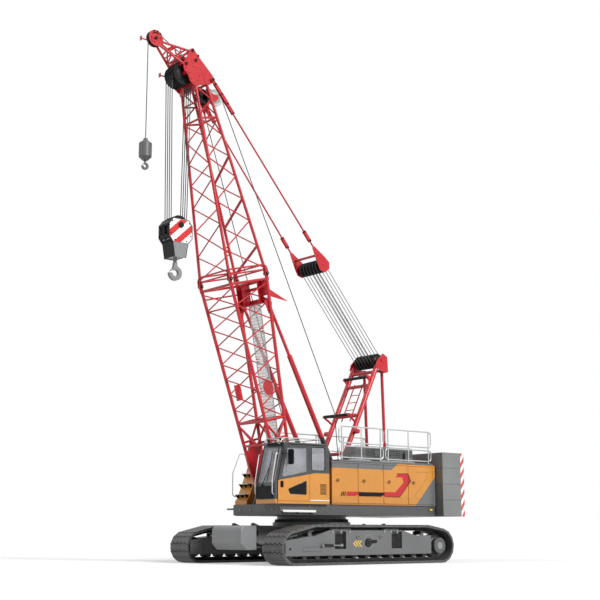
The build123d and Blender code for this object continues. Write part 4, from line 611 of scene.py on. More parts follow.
def addLocalBox(mesh, origin, axes, low, high):
    corners = []
    for z in (low[2], high[2]):
        for x, y in ((low[0], low[1]), (high[0], low[1]), (high[0], high[1]), (low[0], high[1])):
            corners.append(mesh.verts.new(origin + axes[0] * x + axes[1] * y + axes[2] * z))
    for face in ((0, 1, 2, 3), (4, 5, 6, 7), (0, 1, 5, 4), (1, 2, 6, 5), (2, 3, 7, 6), (3, 0, 4, 7)):
        mesh.faces.new([corners[index] for index in face])


slabPlanes = dict(x=(across, upward, 1), y=(forward, upward, -1), z=(forward, across, 1))


def addSlab(mesh, outline, axis, low, high):
    # An outline drawn on the plane square to an axis, made solid from low to high along that axis
    first, second, sign = slabPlanes[axis]
    addPlanarSlab(mesh, Vector((0, 0, 0)), first, second, outline, sign * low, sign * high)


def addPlanarSlab(mesh, origin, first, second, outline, low, high):
    # The same on any plane, given by two directions in it
    third = first.cross(second)
    closeSolid(mesh, [[mesh.verts.new(origin + first * a + second * b + third * level) for a, b in outline]
        for level in (low, high)])


def addDisc(mesh, start, end, radius, sides=16, endRadius=None):
    start, end = Vector(start), Vector(end)
    ahead = (end - start).normalized()
    side = ahead.orthogonal().normalized()
    ends = ((start, radius), (end, radius if endRadius is None else endRadius))
    closeSolid(mesh, [[mesh.verts.new(place) for place in circlePoints(point, side, ahead.cross(side), size, sides)]
        for point, size in ends])


def addDiscs(mesh, centre, rows, sides):
    # Discs on one line across the crane: from, to and radius of each
    for start, end, radius in rows:
        addDisc(mesh, centre + across * start, centre + across * end, radius, sides)


def roundedLoop(low, high, y, radius, steps=5):
    # Points of a rounded rectangle standing on the plane at y
    points = []
    corners = (((high[0] - radius, low[1] + radius), -90), ((high[0] - radius, high[1] - radius), 0),
        ((low[0] + radius, high[1] - radius), 90), ((low[0] + radius, low[1] + radius), 180))
    for (x, z), turn in corners:
        for step in range(steps + 1):
            angle = radians(turn + 90 * step / steps)
            points.append(Vector((x + radius * cos(angle), y, z + radius * sin(angle))))
    return points


def roundedOutline(low, high, radius, steps=5):
    return [(point.x, point.z) for point in roundedLoop(low, high, 0, radius, steps)]


def roundedCorner(points, radius, steps=5):
    # A path through points with its corners rounded
    points = [Vector(point) for point in points]
    path = [points[0]]
    for before, corner, after in zip(points, points[1:], points[2:]):
        back, ahead = (before - corner).normalized(), (after - corner).normalized()
        start, end = corner + back * radius, corner + ahead * radius
        for step in range(steps + 1):
            share = step / steps
            path.append(start * (1 - share) ** 2 + corner * 2 * share * (1 - share) + end * share ** 2)
    path.append(points[-1])
    return path


# Tracks: the wheels that the belt runs round, each as (x, z, radius to the outside of the shoes)
track = dict(gauge=4.61, pitchWanted=0.232,
    wheels=((-2.85, 0.508, 0.508), (2.85, 0.475, 0.475), (2.12, 0.888, 0.232), (-2.28, 0.888, 0.232)),
    toothRows=(-0.33, -0.11, 0.11, 0.33), toothShift=0.06, toothWidth=0.11, toothLength=0.022,
    toothSunk=0.018, toothZ=(-0.045, -0.0008),
    gapRows=9, gapPitch=0.1, gapShift=0.016, gapHalf=0.015, gapZ=(-0.012, 0.0012),
    boltRows=(-0.31, -0.11, 0.11, 0.31), boltShift=0.055, boltRadius=0.014, boltSunk=0.002,
    boltProud=0.002, seenAbove=-0.6,  # shoes that face the ground more than this get no bolts or gaps
    linkDepth=0.118, linkRadius=0.047, linkPlate=0.014, linkSide=0.152, linkLap=0.012,
    linkInset=0.03, linkClear=0.001)


def runNormal(index):
    wheels = track["wheels"]
    x0, z0, r0 = wheels[index]
    x1, z1, r1 = wheels[(index + 1) % len(wheels)]
    return atan2(z1 - z0, x1 - x0) - acos((r0 - r1) / hypot(x1 - x0, z1 - z0))


def beltStretches():
    wheels = track["wheels"]
    stretches = []
    for index in range(len(wheels)):
        arrive, leave = runNormal(index - 1), runNormal(index)
        turn = (leave - arrive) % (2 * pi)
        x0, z0, r0 = wheels[index]
        x1, z1, r1 = wheels[(index + 1) % len(wheels)]
        start = (x0 + r0 * cos(leave), z0 + r0 * sin(leave))
        end = (x1 + r1 * cos(leave), z1 + r1 * sin(leave))
        stretches.append((r0 * turn, index, arrive, turn))
        stretches.append((hypot(end[0] - start[0], end[1] - start[1]), index, leave, 0.0))
    return stretches


stretches = beltStretches()
beltLength = sum(stretch[0] for stretch in stretches)
shoeCount = round(beltLength / track["pitchWanted"])
shoePitch = beltLength / shoeCount


def beltPlace(distance):
    # Point on the ground side of the shoes, with the outward direction there
    left = distance % beltLength
    for length, index, angle, turn in stretches:
        if left > length:
            left -= length
            continue
        x, z, radius = track["wheels"][index]
        if turn:
            angle += turn * left / length
            place = Vector((x + radius * cos(angle), 0, z + radius * sin(angle)))
            return place, Vector((cos(angle), 0, sin(angle)))
        out = Vector((cos(angle), 0, sin(angle)))
        return Vector((x, 0, z)) + out * radius + Vector((-out.z, 0, out.x)) * left, out
    return beltPlace(0.0)


def linkOutline():
    # Two half circles joined by straight sides
    reach = shoePitch / 2 + track["linkLap"] - track["linkInset"]
    outline = []
    for sign, start in ((1, -90), (-1, 90)):
        for step in range(7):
            angle = radians(start + 30 * step)
            outline.append((sign * reach + track["linkRadius"] * cos(angle), track["linkRadius"] * sin(angle)))
    return outline


def shoeFrame(index, sideY):
    place, out = beltPlace(index * shoePitch)
    place.y = sideY
    return place, out, Vector((-out.z, 0, out.x))


def addTrackDetails(side, sideY):
    teeth, bolts, links, gaps, look = newMesh(), newMesh(), newMesh(), newMesh(), track
    outline = linkOutline()
    half, boltHeight = look["toothWidth"] / 2, look["boltSunk"] + look["boltProud"]
    for index in range(shoeCount):
        place, out, along = shoeFrame(index, sideY)
        axes = (along, across, out)
        for y in look["toothRows"]:
            for sign in (1, -1):
                low, high = sorted((sign * -look["toothSunk"], sign * (look["toothLength"] - look["toothSunk"])))
                middle = y - sign * look["toothShift"]
                addLocalBox(teeth, place, axes, (low, middle - half, look["toothZ"][0]),
                    (high, middle + half, look["toothZ"][1]))
        # Black bars in the gaps between the shoes: painted shade
        if out.z > look["seenAbove"]:
            for row in range(look["gapRows"]):
                y = (row - look["gapRows"] // 2) * look["gapPitch"]
                shift = look["gapShift"] if row % 2 else -look["gapShift"]
                addLocalBox(gaps, place, axes, (shift - look["gapHalf"], y - look["gapPitch"] / 2, look["gapZ"][0]),
                    (shift + look["gapHalf"], y + look["gapPitch"] / 2, look["gapZ"][1]))
        centre, out, along = shoeFrame(index + 0.5, sideY)
        if out.z > look["seenAbove"]:
            for y in look["boltRows"]:
                for shift in (-look["boltShift"], look["boltShift"]):
                    start = centre + across * y + along * shift - out * look["boltSunk"]
                    addDisc(bolts, start, start + out * boltHeight, look["boltRadius"], 6)
        # Link plates on both sides of the chain, lapped one over the next
        lap = look["linkSide"] + (look["linkPlate"] + look["linkClear"] if index % 2 else 0.0)
        for sign in (1, -1):
            origin = centre - out * look["linkDepth"] + across * sign * lap
            low, high = sorted((0.0, -sign * look["linkPlate"]))
            addPlanarSlab(links, origin, along, out, outline, low, high)
    finishPiece(teeth, f"shoeTeeth_{side}", "trackSteel", "undercarriage")
    finishPiece(gaps, f"shoeGapShade_{side}", "sheaveBlack", "undercarriage")
    finishPiece(bolts, f"shoeBolts_{side}", "darkSteel", "undercarriage")
    finishPiece(links, f"chainLinks_{side}", "darkSteel", "undercarriage")


# Track frames: fittings on the outer faces
frameFittings = dict(
    faceOut=0.30, plateOut=0.003, chevronTips=(0.626, 0.523, 0.420), chevronZ=0.584,
    chevronReach=0.105, chevronRise=0.088, chevronStroke=0.042,
    port=(0.02, 0.635), portRadius=0.19, portRim=0.012, motorZ=-0.02,
    motorDiscs=((0.03, 0.0, 0.05, 0.115, 20), (0.05, 0.05, 0.075, 0.055, 14)),  # x, from, to, radius, sides
    motorBolt=dict(x=0.05, circle=0.07, radius=0.010, height=0.012),
    pipeOut=0.03, pipe=(-0.02, 0.01, -0.27, 0.015, 0.042), pipeNut=(-0.185, -0.225, 0.015, 0.036),
    cleats=((0.443, 0.776), (-0.448, 0.776)), cleatHalf=(0.055, 0.03), cleatOut=0.03, cleatBend=0.02,
    cleatWire=0.009, cleatFoot=(0.012, 0.036, 0.014),
    lugHoleShade=(2.93, 0.449), lugHalf=(0.035, 0.03),
    skidRails=((0.70, 1.455), (-1.17, -0.56)), skidZ=(0.968, 1.004), skidOut=(-0.10, -0.01),
    skidFootIn=0.05, skidFootHalf=0.03, skidFootZ=(0.878, 0.988), skidFootOut=0.012,
    windows=((0.868, 1.305), (-1.276, -0.854)), windowShadeZ=(0.36, 0.86), windowShadeOut=(-0.10, -0.096),
    lockOut=0.045, lockX=(1.80, 1.42, 1.10), lockZ=(0.555, 0.545, 0.535), lockSizes=(0.034, 0.020),
    lockEye=(0.075, 0.042), coverX=(1.83, 2.48), coverZ=(0.377, 0.502), coverLine=0.004,
    hub=(-2.85, 0.508), hubOut=0.06, hubBolts=12, hubCircle=0.19, hubBolt=(-0.002, 0.009, 0.014),
    hubCap=(-0.001, 0.006, 0.11, 0.10))


def addFrameFittings(side, sideY):
    fit = frameFittings
    sign = 1 if sideY > 0 else -1
    face = sideY + sign * fit["faceOut"]
    yellow, steel, dark = newMesh(), newMesh(), newMesh()

    def spot(x, z, out=0.0):
        return Vector((x, face + sign * out, z))

    def plate(mesh, xs, zs, start, end):
        addSpans(mesh, xs, (face + sign * start, face + sign * end), zs)

    z, reach, rise, stroke = (fit[key] for key in ("chevronZ", "chevronReach", "chevronRise", "chevronStroke"))
    for tip in fit["chevronTips"]:
        outline = [(tip, z), (tip - reach, z + rise), (tip - reach - stroke, z + rise), (tip - stroke, z),
            (tip - reach - stroke, z - rise), (tip - reach, z - rise)]
        addSlab(yellow, outline, "y", face, face + sign * fit["plateOut"])
    # Round port with the travel motor's fittings in it
    portX, portZ = fit["port"]
    motorZ = portZ + fit["motorZ"]
    addTube(steel, circlePoints(spot(portX, portZ), forward, upward, fit["portRadius"], 28), fit["portRim"], 6,
        closed=True)
    for x, start, end, radius, sides in fit["motorDiscs"]:
        addDisc(dark, spot(portX + x, motorZ, start), spot(portX + x, motorZ, end), radius, sides)
    bolt = fit["motorBolt"]
    for place in circlePoints(spot(portX + bolt["x"], motorZ, 0.05), forward, upward, bolt["circle"], 6):
        addDisc(steel, place, place + across * sign * bolt["height"], bolt["radius"], 6)
    x0, z0, x1, z1, radius = fit["pipe"]
    out = fit["pipeOut"]
    addTube(dark, [spot(portX + x0, portZ + z0, out), spot(portX + x1, portZ + z1, out)], radius, 12)
    x0, x1, z, radius = fit["pipeNut"]
    addDisc(steel, spot(portX + x0, portZ + z, out), spot(portX + x1, portZ + z, out), radius, 6)
    halfX, halfZ = fit["cleatHalf"]
    footHalf, footOut, footRise = fit["cleatFoot"]
    for x, z in fit["cleats"]:
        loop = roundedLoop((x - halfX, z - halfZ), (x + halfX, z + halfZ), face + sign * fit["cleatOut"],
            fit["cleatBend"], 3)
        addTube(steel, loop, fit["cleatWire"], 6, closed=True)
        for end in (x - halfX, x + halfX):
            plate(steel, (end - footHalf, end + footHalf), (z - footRise, z + footRise), 0, footOut)
    # Dark patch where the lug hole is: painted shade of the hole
    x, z = fit["lugHoleShade"]
    halfX, halfZ = fit["lugHalf"]
    plate(dark, (x - halfX, x + halfX), (z - halfZ, z + halfZ), 0, fit["plateOut"])
    for x0, x1 in fit["skidRails"]:
        plate(steel, (x0, x1), fit["skidZ"], *fit["skidOut"])
        half = fit["skidFootHalf"]
        for x in (x0 + fit["skidFootIn"], (x0 + x1) / 2, x1 - fit["skidFootIn"]):
            plate(steel, (x - half, x + half), fit["skidFootZ"], 0, fit["skidFootOut"])
    # Dark panels set back in the two windows: painted shade of the recesses
    for window in fit["windows"]:
        plate(dark, window, fit["windowShadeZ"], *fit["windowShadeOut"])
    # Folding beam lock: a slim cylinder with its clevis, ahead of the front axle window
    ends = [spot(x, z, fit["lockOut"]) for x, z in zip(fit["lockX"], fit["lockZ"])]
    addTube(dark, ends[:2], fit["lockSizes"][0], 12)
    addTube(steel, ends[1:], fit["lockSizes"][1], 10)
    eyeOut, eyeRadius = fit["lockEye"]
    for x in (fit["lockX"][0], fit["lockX"][2]):
        addDisc(steel, spot(x, fit["lockZ"][1]), spot(x, fit["lockZ"][1], eyeOut), eyeRadius, 12)
    line = fit["coverLine"]
    for z in fit["coverZ"]:
        plate(dark, fit["coverX"], (z - line, z + line), 0, fit["plateOut"])
    for x in fit["coverX"]:
        plate(dark, (x - line, x + line), fit["coverZ"], 0, fit["plateOut"])
    # Hub cover on the final drive
    hub = spot(*fit["hub"], fit["hubOut"])
    low, high, radius = fit["hubBolt"]
    for place in circlePoints(hub, forward, upward, fit["hubCircle"], fit["hubBolts"]):
        addDisc(steel, place + across * sign * low, place + across * sign * high, radius, 6)
    low, high, radius, endRadius = fit["hubCap"]
    addDisc(steel, hub + across * sign * low, hub + across * sign * high, radius, 24, endRadius)
    finishPiece(yellow, f"frameChevrons_{side}", "yellowLamp", "undercarriage")
    finishPiece(steel, f"frameFittings_{side}", "lightGreyPaint", "undercarriage", 0.002)
    finishPiece(dark, f"framePortsAndShade_{side}", "darkSteel", "undercarriage")


# Carbody: the ring gear and the bolts of its flange
carbody = dict(gearRadius=1.1, gearLow=1.215, gearHigh=1.292, gearTeeth=96, toothHeight=0.026,
    flangeZ=1.2, flangeBolts=40, flangeRadius=1.145)


def addRingGear():
    teeth, bolts, body = newMesh(), newMesh(), carbody
    for index in range(body["gearTeeth"]):
        angle = 2 * pi * index / body["gearTeeth"]
        out = Vector((cos(angle), sin(angle), 0))
        along = Vector((-out.y, out.x, 0))
        base = body["gearRadius"] - 0.002
        tip = body["gearRadius"] + body["toothHeight"]
        outline = [(base, -0.021), (tip, -0.010), (tip, 0.010), (base, 0.021)]
        addPlanarSlab(teeth, Vector((0, 0, body["gearLow"])), out, along, outline, 0.0,
            body["gearHigh"] - body["gearLow"])
    for index in range(body["flangeBolts"]):
        angle = 2 * pi * (index + 0.5) / body["flangeBolts"]
        place = Vector((body["flangeRadius"] * cos(angle), body["flangeRadius"] * sin(angle), body["flangeZ"]))
        addDisc(bolts, place, place + Vector((0, 0, 0.018)), 0.018, 6)
    finishPiece(teeth, "ringGearTeeth", "darkSteel", "undercarriage")
    finishPiece(bolts, "ringFlangeBolts", "darkSteel", "undercarriage")


# Wire ropes: each straight span has a ring at each end only, so that it stays straight at every pose
rope = dict(radius=0.014, sides=8, luffRadius=0.011, seat=0.84)  # seat: the groove's share of a sheave
falls = dict(head=0.34, block=0.30, pitch=0.11, count=4)
auxLine = dict(sheave=0.25, hookOut=0.23, endIn=0.02, wrapTo=150)
luff = dict(head=0.23, block=0.22, pitch=0.15, grooves=6, spread=0.012, turn=140)


def addRopeSpans(name, spans, bodies, radius):
    mesh = newMesh()
    for first, second in spans:
        addTube(mesh, [first, second], radius, rope["sides"])
    obj = linkMesh(mesh, name, materials["ropeSteel"])
    if len(bodies) == 1:
        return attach(obj, bodies[0])
    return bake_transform(obj)


def addRopeWrap(mesh, centre, radius, fromAngle, toAngle, y, ropeRadius):
    # Rope lying in a groove, between two angles in the XZ plane
    steps = max(4, int(abs(toAngle - fromAngle) / 12))
    points = []
    for step in range(steps + 1):
        angle = radians(fromAngle + (toAngle - fromAngle) * step / steps)
        points.append(centre + Vector((radius * cos(angle), y, radius * sin(angle))))
    addTube(mesh, points, ropeRadius, rope["sides"])


def addHookFalls():
    # Eight falls between the five head sheaves and the four sheaves of the block
    head = pinOf("head_sheaves_level")
    low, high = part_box("hook_sheaves")
    block = Vector((head.x, 0, (low.z + high.z) / 2))
    pitch, radius, count = falls["pitch"], rope["radius"], falls["count"]
    headReach, blockReach = falls["head"] * rope["seat"] + radius, falls["block"] * rope["seat"] + radius
    blockRow = [(index - (count - 1) / 2) * pitch for index in range(count)]
    headRow = [(index - count / 2) * pitch for index in range(count + 1)]
    spans = []
    for index, blockY in enumerate(blockRow):
        for side, headY in ((1, headRow[index]), (-1, headRow[index + 1])):
            spans.append((head + Vector((side * headReach, headY, 0)),
                block + Vector((side * blockReach, blockY, 0))))
    addRopeSpans("mainHookFalls", spans, ("head_sheaves", "main_block"), radius)
    upper, lower = newMesh(), newMesh()
    for y in headRow:
        addRopeWrap(upper, head, headReach, 0, 180, y, radius)
    for y in blockRow:
        addRopeWrap(lower, block, blockReach, 180, 360, y, radius)
    finishPiece(upper, "headSheaveRopes", "ropeSteel", "head_sheaves")
    finishPiece(lower, "blockSheaveRopes", "ropeSteel", "main_block")


def addAuxRope():
    tip = pinOf("tip_sheave_level")
    reach = auxLine["sheave"] * rope["seat"] + rope["radius"]
    low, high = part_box("aux_hook")
    top = tip + Vector((reach, 0, 0))
    end = Vector((tip.x + auxLine["hookOut"], 0, high.z - auxLine["endIn"]))
    addRopeSpans("auxHookRope", [(top, end)], ("tip_sheave", "aux_hook"), rope["radius"])
    wrap = newMesh()
    addRopeWrap(wrap, tip, reach, 0, auxLine["wrapTo"], 0.0, rope["radius"])
    finishPiece(wrap, "tipSheaveRope", "ropeSteel", "tip_sheave")


def addLuffingRopes():
    # Two falls a groove between the gantry head and the floating block
    head = pinOf("stay_swing")
    low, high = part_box("floating_sheaves")
    block = (low + high) / 2
    block.y = 0
    square = Vector((-stayAlong.z, 0, stayAlong.x))
    radius, turn = rope["luffRadius"], luff["turn"]
    headReach, blockReach = luff["head"] * rope["seat"] + radius, luff["block"] * rope["seat"] + radius
    row = [(index - (luff["grooves"] - 1) / 2) * luff["pitch"] for index in range(luff["grooves"])]
    spans = []
    for y in row:
        for side in (1, -1):
            spans.append((head + square * side * headReach + across * y,
                block + square * side * blockReach + across * (y + side * luff["spread"])))
    addRopeSpans("luffingRopes", spans, ("stay_head", "stay_block"), radius)
    upper, lower = newMesh(), newMesh()
    for y in row:
        addRopeWrap(upper, head, headReach, turn, turn + 180, y, radius)
        addRopeWrap(lower, block, blockReach, turn - 180, turn, y, radius)
    finishPiece(upper, "gantrySheaveRopes", "ropeSteel", "stay_head")
    finishPiece(lower, "floatingSheaveRopes", "ropeSteel", "stay_block")


# Hoist ropes from the drums, over the gantry's roller and up the back of the boom
hoist = dict(roller=(-0.97, 0, 4.60), frontLead=(0.29, -0.24, 2.425), rearLead=(-1.18, 0, 2.30),
    guide=(12.125, 0.671), guideRadius=0.27, guideArrive=(-0.93, 0, 0.36),
    guideLeave=(0.5, 0, 0.87), guideWrap=(160, 30), second=(12.32, 0.30, -0.24),
    bend=(13.1, 0.30, -0.12), overHead=(0, 0, 0.30), overTip=(-0.1, 0, 0.2), turnSteps=16,
         # x, z, radius and width of each drum
    drums=((0.10, 2.18, 0.29, 0.66), (-1.45, 2.18, 0.29, 0.66), (-2.15, 2.18, 0.24, 0.52)))


def addHoistRopes():
    radius, look = rope["radius"], hoist
    reach = look["guideRadius"] * rope["seat"] + radius
    guide, second, bend = (boomPoint(*look[key]) for key in ("guide", "second", "bend"))
    top = guide + Vector(look["guideArrive"]) * reach
    roller, foot = Vector(look["roller"]), Vector(look["frontLead"])
    addRopeSpans("mainHoistRope", [(roller, top)], ("upper", "boom"), radius)
    addRopeSpans("auxHoistRope", [(foot, second)], ("upper", "boom"), radius)
    addRopeSpans("drumLeadRope", [(roller, look["rearLead"])], ("upper",), radius)
    # From the guide sheaves over the boom head to the head and tip sheaves
    lead = newMesh()
    head, tip = pinOf("head_sheaves_level"), pinOf("tip_sheave_level")
    addRopeWrap(lead, guide, reach, *look["guideWrap"], 0.0, radius)
    for start, end in ((guide + Vector(look["guideLeave"]) * reach, head + Vector(look["overHead"])),
            (second, bend), (bend, tip + Vector(look["overTip"]))):
        addTube(lead, [start, end], radius, rope["sides"])
    finishPiece(lead, "boomHeadRopes", "ropeSteel", "boom")


def addDrumRopes():
    mesh, radius, steps = newMesh(), rope["radius"], hoist["turnSteps"]
    for x, z, size, width in hoist["drums"]:
        points = []
        for step in range(int(width / (2 * radius)) * steps):
            angle = 2 * pi * step / steps
            y = -width / 2 + radius + step / steps * 2 * radius
            points.append(Vector((x + (size + radius) * cos(angle), y, z + (size + radius) * sin(angle))))
        addTube(mesh, points, radius, 6)
    finishPiece(mesh, "drumRopes", "ropeSteel", "upper")


# House: painted bands, blank plate, latches, painted shade along the creases and a raised low crease, each on the
# door that carries it
houseLook = dict(faceY=1.6, gap=0.009, proud=0.0015,
    redRail=[(-0.008, 1.965), (-0.045, 2.10), (-0.56, 2.103), (-0.56, 1.967)],
    redArrow=[(-1.55, 1.972), (-2.213, 1.982), (-2.688, 2.475), (-2.582, 2.686), (-2.142, 2.672),
    (-2.055, 2.570), (-2.33, 2.575), (-2.395, 2.42), (-2.03, 2.118), (-1.55, 2.112)],
    arrowShade=[(-1.55, 1.955), (-2.222, 1.962), (-2.722, 2.470), (-2.605, 2.706), (-2.14, 2.690),
    (-2.10, 2.66), (-2.58, 2.66), (-2.66, 2.475), (-2.20, 1.99), (-1.55, 1.98)],
    blankPlate=[(-0.52, 1.962), (-0.52, 2.092), (-1.575, 2.097), (-1.575, 1.968)],
    slashes=(0.20, 0.135, 0.07), slashWidth=0.042, slashLean=0.035, slashZ=(1.965, 2.095),
    cornerCrease=[(-2.919, 2.76), (-3.439, 2.766), (-3.434, 2.59), (-2.807, 1.943)],
    creaseShadeWidth=0.010, creaseShadeProud=0.001,
    lowCrease=((0.54, 1.94), (-3.10, 1.96), 0.012), lowProud=0.004)
latchLook = {"z": 2.43, "in": 0.232, "half": (0.06, 0.042), "bend": 0.02, "proud": 0.006, "gripX": (-0.055, 0.030),
    "gripZ": (-0.012, 0.020), "gripOut": 0.022, "lock": (0.045, -0.02), "lockOut": 0.014,
    "lockRadius": 0.016}
doorSeams = [0.545, -0.5, -1.55, -2.6, -3.7]


def clipOutline(outline, lowX, highX):
    # The part of an outline between two places along the house
    for limit, keepAbove in ((lowX, True), (highX, False)):
        clipped = []
        count = len(outline)
        for index in range(count):
            first, second = outline[index], outline[(index + 1) % count]
            firstIn = first[0] >= limit if keepAbove else first[0] <= limit
            secondIn = second[0] >= limit if keepAbove else second[0] <= limit
            if firstIn:
                clipped.append(first)
            if firstIn != secondIn:
                share = (limit - first[0]) / (second[0] - first[0])
                clipped.append((limit, first[1] + share * (second[1] - first[1])))
        outline = clipped
        if len(outline) < 3:
            return []
    return outline


def addDoorMarks(name, outlines, finish, proud):
    for number in range(1, 5):
        mesh = newMesh()
        for outline in outlines:
            part = clipOutline(outline, doorSeams[number] + houseLook["gap"],
                doorSeams[number - 1] - houseLook["gap"])
            if part:
                addSlab(mesh, part, "y", houseLook["faceY"] - 0.001, houseLook["faceY"] + proud)
        if mesh.faces:
            finishPiece(mesh, f"{name}_{number}", finish, f"house_door_{number}")
        else:
            mesh.free()


def strip(first, second, width):
    # A thin straight strip between two points, as an outline
    (x0, z0), (x1, z1) = first, second
    length = hypot(x1 - x0, z1 - z0)
    dx, dz = -(z1 - z0) / length * width / 2, (x1 - x0) / length * width / 2
    return [(x0 + dx, z0 + dz), (x1 + dx, z1 + dz), (x1 - dx, z1 - dz), (x0 - dx, z0 - dz)]


def addHouseMarks():
    look = houseLook
    proud = look["proud"]
    addDoorMarks("arrowShade", [look["arrowShade"]], "blackTrim", proud * 0.6)
    addDoorMarks("redBand", [look["redRail"], look["redArrow"]], "redPaint", proud)
    addDoorMarks("blankPlate", [look["blankPlate"]], "blackTrim", proud * 1.5)
    low, high = look["slashZ"]
    slashes = [[(x, low), (x - look["slashLean"], high), (x - look["slashLean"] - look["slashWidth"], high),
        (x - look["slashWidth"], low)] for x in look["slashes"]]
    addDoorMarks("slashMarks", slashes, "blackTrim", proud)
    # Dark lines along the corner creases: painted shade of the folds
    points = look["cornerCrease"]
    creases = [strip(first, second, look["creaseShadeWidth"]) for first, second in zip(points, points[1:])]
    addDoorMarks("panelCreaseShade", creases, "darkPaint", look["creaseShadeProud"])
    addDoorMarks("lowCrease", [strip(*look["lowCrease"])], "orangePaint", look["lowProud"])


def addLatches():
    look, face = latchLook, houseLook["faceY"]
    halfX, halfZ = look["half"]
    for number in range(1, 5):
        mesh = newMesh()
        x, z = doorSeams[number - 1] - look["in"], look["z"]
        outer = face + look["proud"]
        plate = roundedOutline((x - halfX, z - halfZ), (x + halfX, z + halfZ), look["bend"], 3)
        addSlab(mesh, plate, "y", face - 0.001, outer)
        addSpans(mesh, [x + shift for shift in look["gripX"]], (outer, face + look["gripOut"]),
            [z + shift for shift in look["gripZ"]])
        lockX, lockZ = x + look["lock"][0], z + look["lock"][1]
        addDisc(mesh, (lockX, outer, lockZ), (lockX, face + look["lockOut"], lockZ), look["lockRadius"], 12)
        # The latches take the darker orange as painted shade
        finishPiece(mesh, f"doorLatch_{number}", "latchShadedOrange", f"house_door_{number}", 0.003)


# Engine hood: a perforated sheet on its outer side, with a black backing behind it and a black keyhole shape on the
# face, both painted shade of the openings
hoodLook = dict(sheetX=(-2.60, -1.17), sheetZ=(3.06, 3.44), holePitch=0.062, holeSize=0.021,
    sheetThick=0.004, sheetOut=0.006, backingOut=0.0015, keyholeX=-2.77,
    keyholeZ=(3.05, 3.36), keyholeRadius=0.055, keyholeOut=0.004)


def addHoodDetails():
    look = hoodLook
    low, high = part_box("engine_hood")
    face = high.y
    sheet, backing = newMesh(), newMesh()
    (x0, x1), (z0, z1), pitch, hole = look["sheetX"], look["sheetZ"], look["holePitch"], look["holeSize"]
    outer, half = face + look["sheetOut"], pitch / 2
    inner = outer - look["sheetThick"]
    square = [(half, 0), (half, half), (0, half), (-half, half), (-half, 0), (-half, -half), (0, -half),
        (half, -half)]
    rim = [(hole * cos(pi / 4 * step), hole * sin(pi / 4 * step)) for step in range(8)]
    for column in range(round((x1 - x0) / pitch)):
        for row in range(round((z1 - z0) / pitch)):
            x, z = x0 + (column + 0.5) * pitch, z0 + (row + 0.5) * pitch
            front, ring, back = ([sheet.verts.new((x + a, y, z + b)) for a, b in loop]
                for loop, y in ((square, outer), (rim, outer), (rim, inner)))
            joinRings(sheet, front, ring)
            joinRings(sheet, ring, back)
    bmesh.ops.remove_doubles(sheet, verts=sheet.verts[:], dist=0.0005)
    addBox(backing, (x0, face, z0), (x1, face + look["backingOut"], z1))
    x, radius, (keyLow, keyHigh) = look["keyholeX"], look["keyholeRadius"], look["keyholeZ"]
    outline = [(x - radius, keyLow)]
    for step in range(7):
        angle = radians(30 * step)
        outline.append((x - radius * cos(angle), keyHigh - radius + radius * sin(angle)))
    outline.append((x + radius, keyLow))
    addSlab(backing, outline, "y", face, face + look["keyholeOut"])
    finishPiece(sheet, "hoodPerforatedSheet", "greyPaint", "upper")
    finishPiece(backing, "hoodOpeningShade", "blackTrim", "upper")


# Counterweight: warning stripes on its two slanted rear corners
weightLook = dict(start=(-4.650, 1.8963), end=(-4.915, 1.7970), out=(-0.00105, 0.0028), z=(1.395, 3.40))


def addWeightDetails():
    look, stripes = weightLook, newMesh()
    outline = [look["start"], look["end"]]
    outline += [(x + look["out"][0], y + look["out"][1]) for x, y in (look["end"], look["start"])]
    for sign in (1, -1):
        addSlab(stripes, [(x, sign * y) for x, y in outline], "z", *look["z"])
    finishPiece(stripes, "weightWarningStrips", "weightStripes", "upper")


# Deck: the step board under the cab, side lamps, skirt seams and the bar at the right front corner
deckLook = dict(sideY=1.56, frontX=2.45, stepX=(1.206, 2.424), stepZ=1.50, stepOut=0.10,
    stepThick=0.035, lipIn=0.088, lipDrop=0.03, bracketIn=0.12, bracketDrop=0.09,
    bracketOut=0.085, bracketHalf=0.012,
    lamp=(-3.60, 1.597), lampHalf=(0.06, 0.028), lampBend=0.018, lampOut=0.022,
    socketHalf=(0.085, 0.045), socketOut=0.010,
    seams=(1.93, 0.58, -1.20, -2.60), seamHalf=0.006, seamZ=(1.41, 1.70), seamOut=0.0015,
    rightEnd=1.7, lugs=((1.40, 1.64), (-3.05, 1.635)), lugOut=0.03, lugRadius=0.022,
    bar=((1.74, -1.45, 1.60), (2.12, -1.45, 1.60), (2.12, -1.05, 1.60), (1.74, -1.05, 1.60)),
    barRadius=0.028, shadeBandY=(-0.60, 1.50), shadeBandZ=(1.412, 1.50), shadeBandOut=0.006,
    bossY=(-0.35, 0.15, 1.2), bossZ=1.56, bossOut=0.02, bossRadius=0.035)


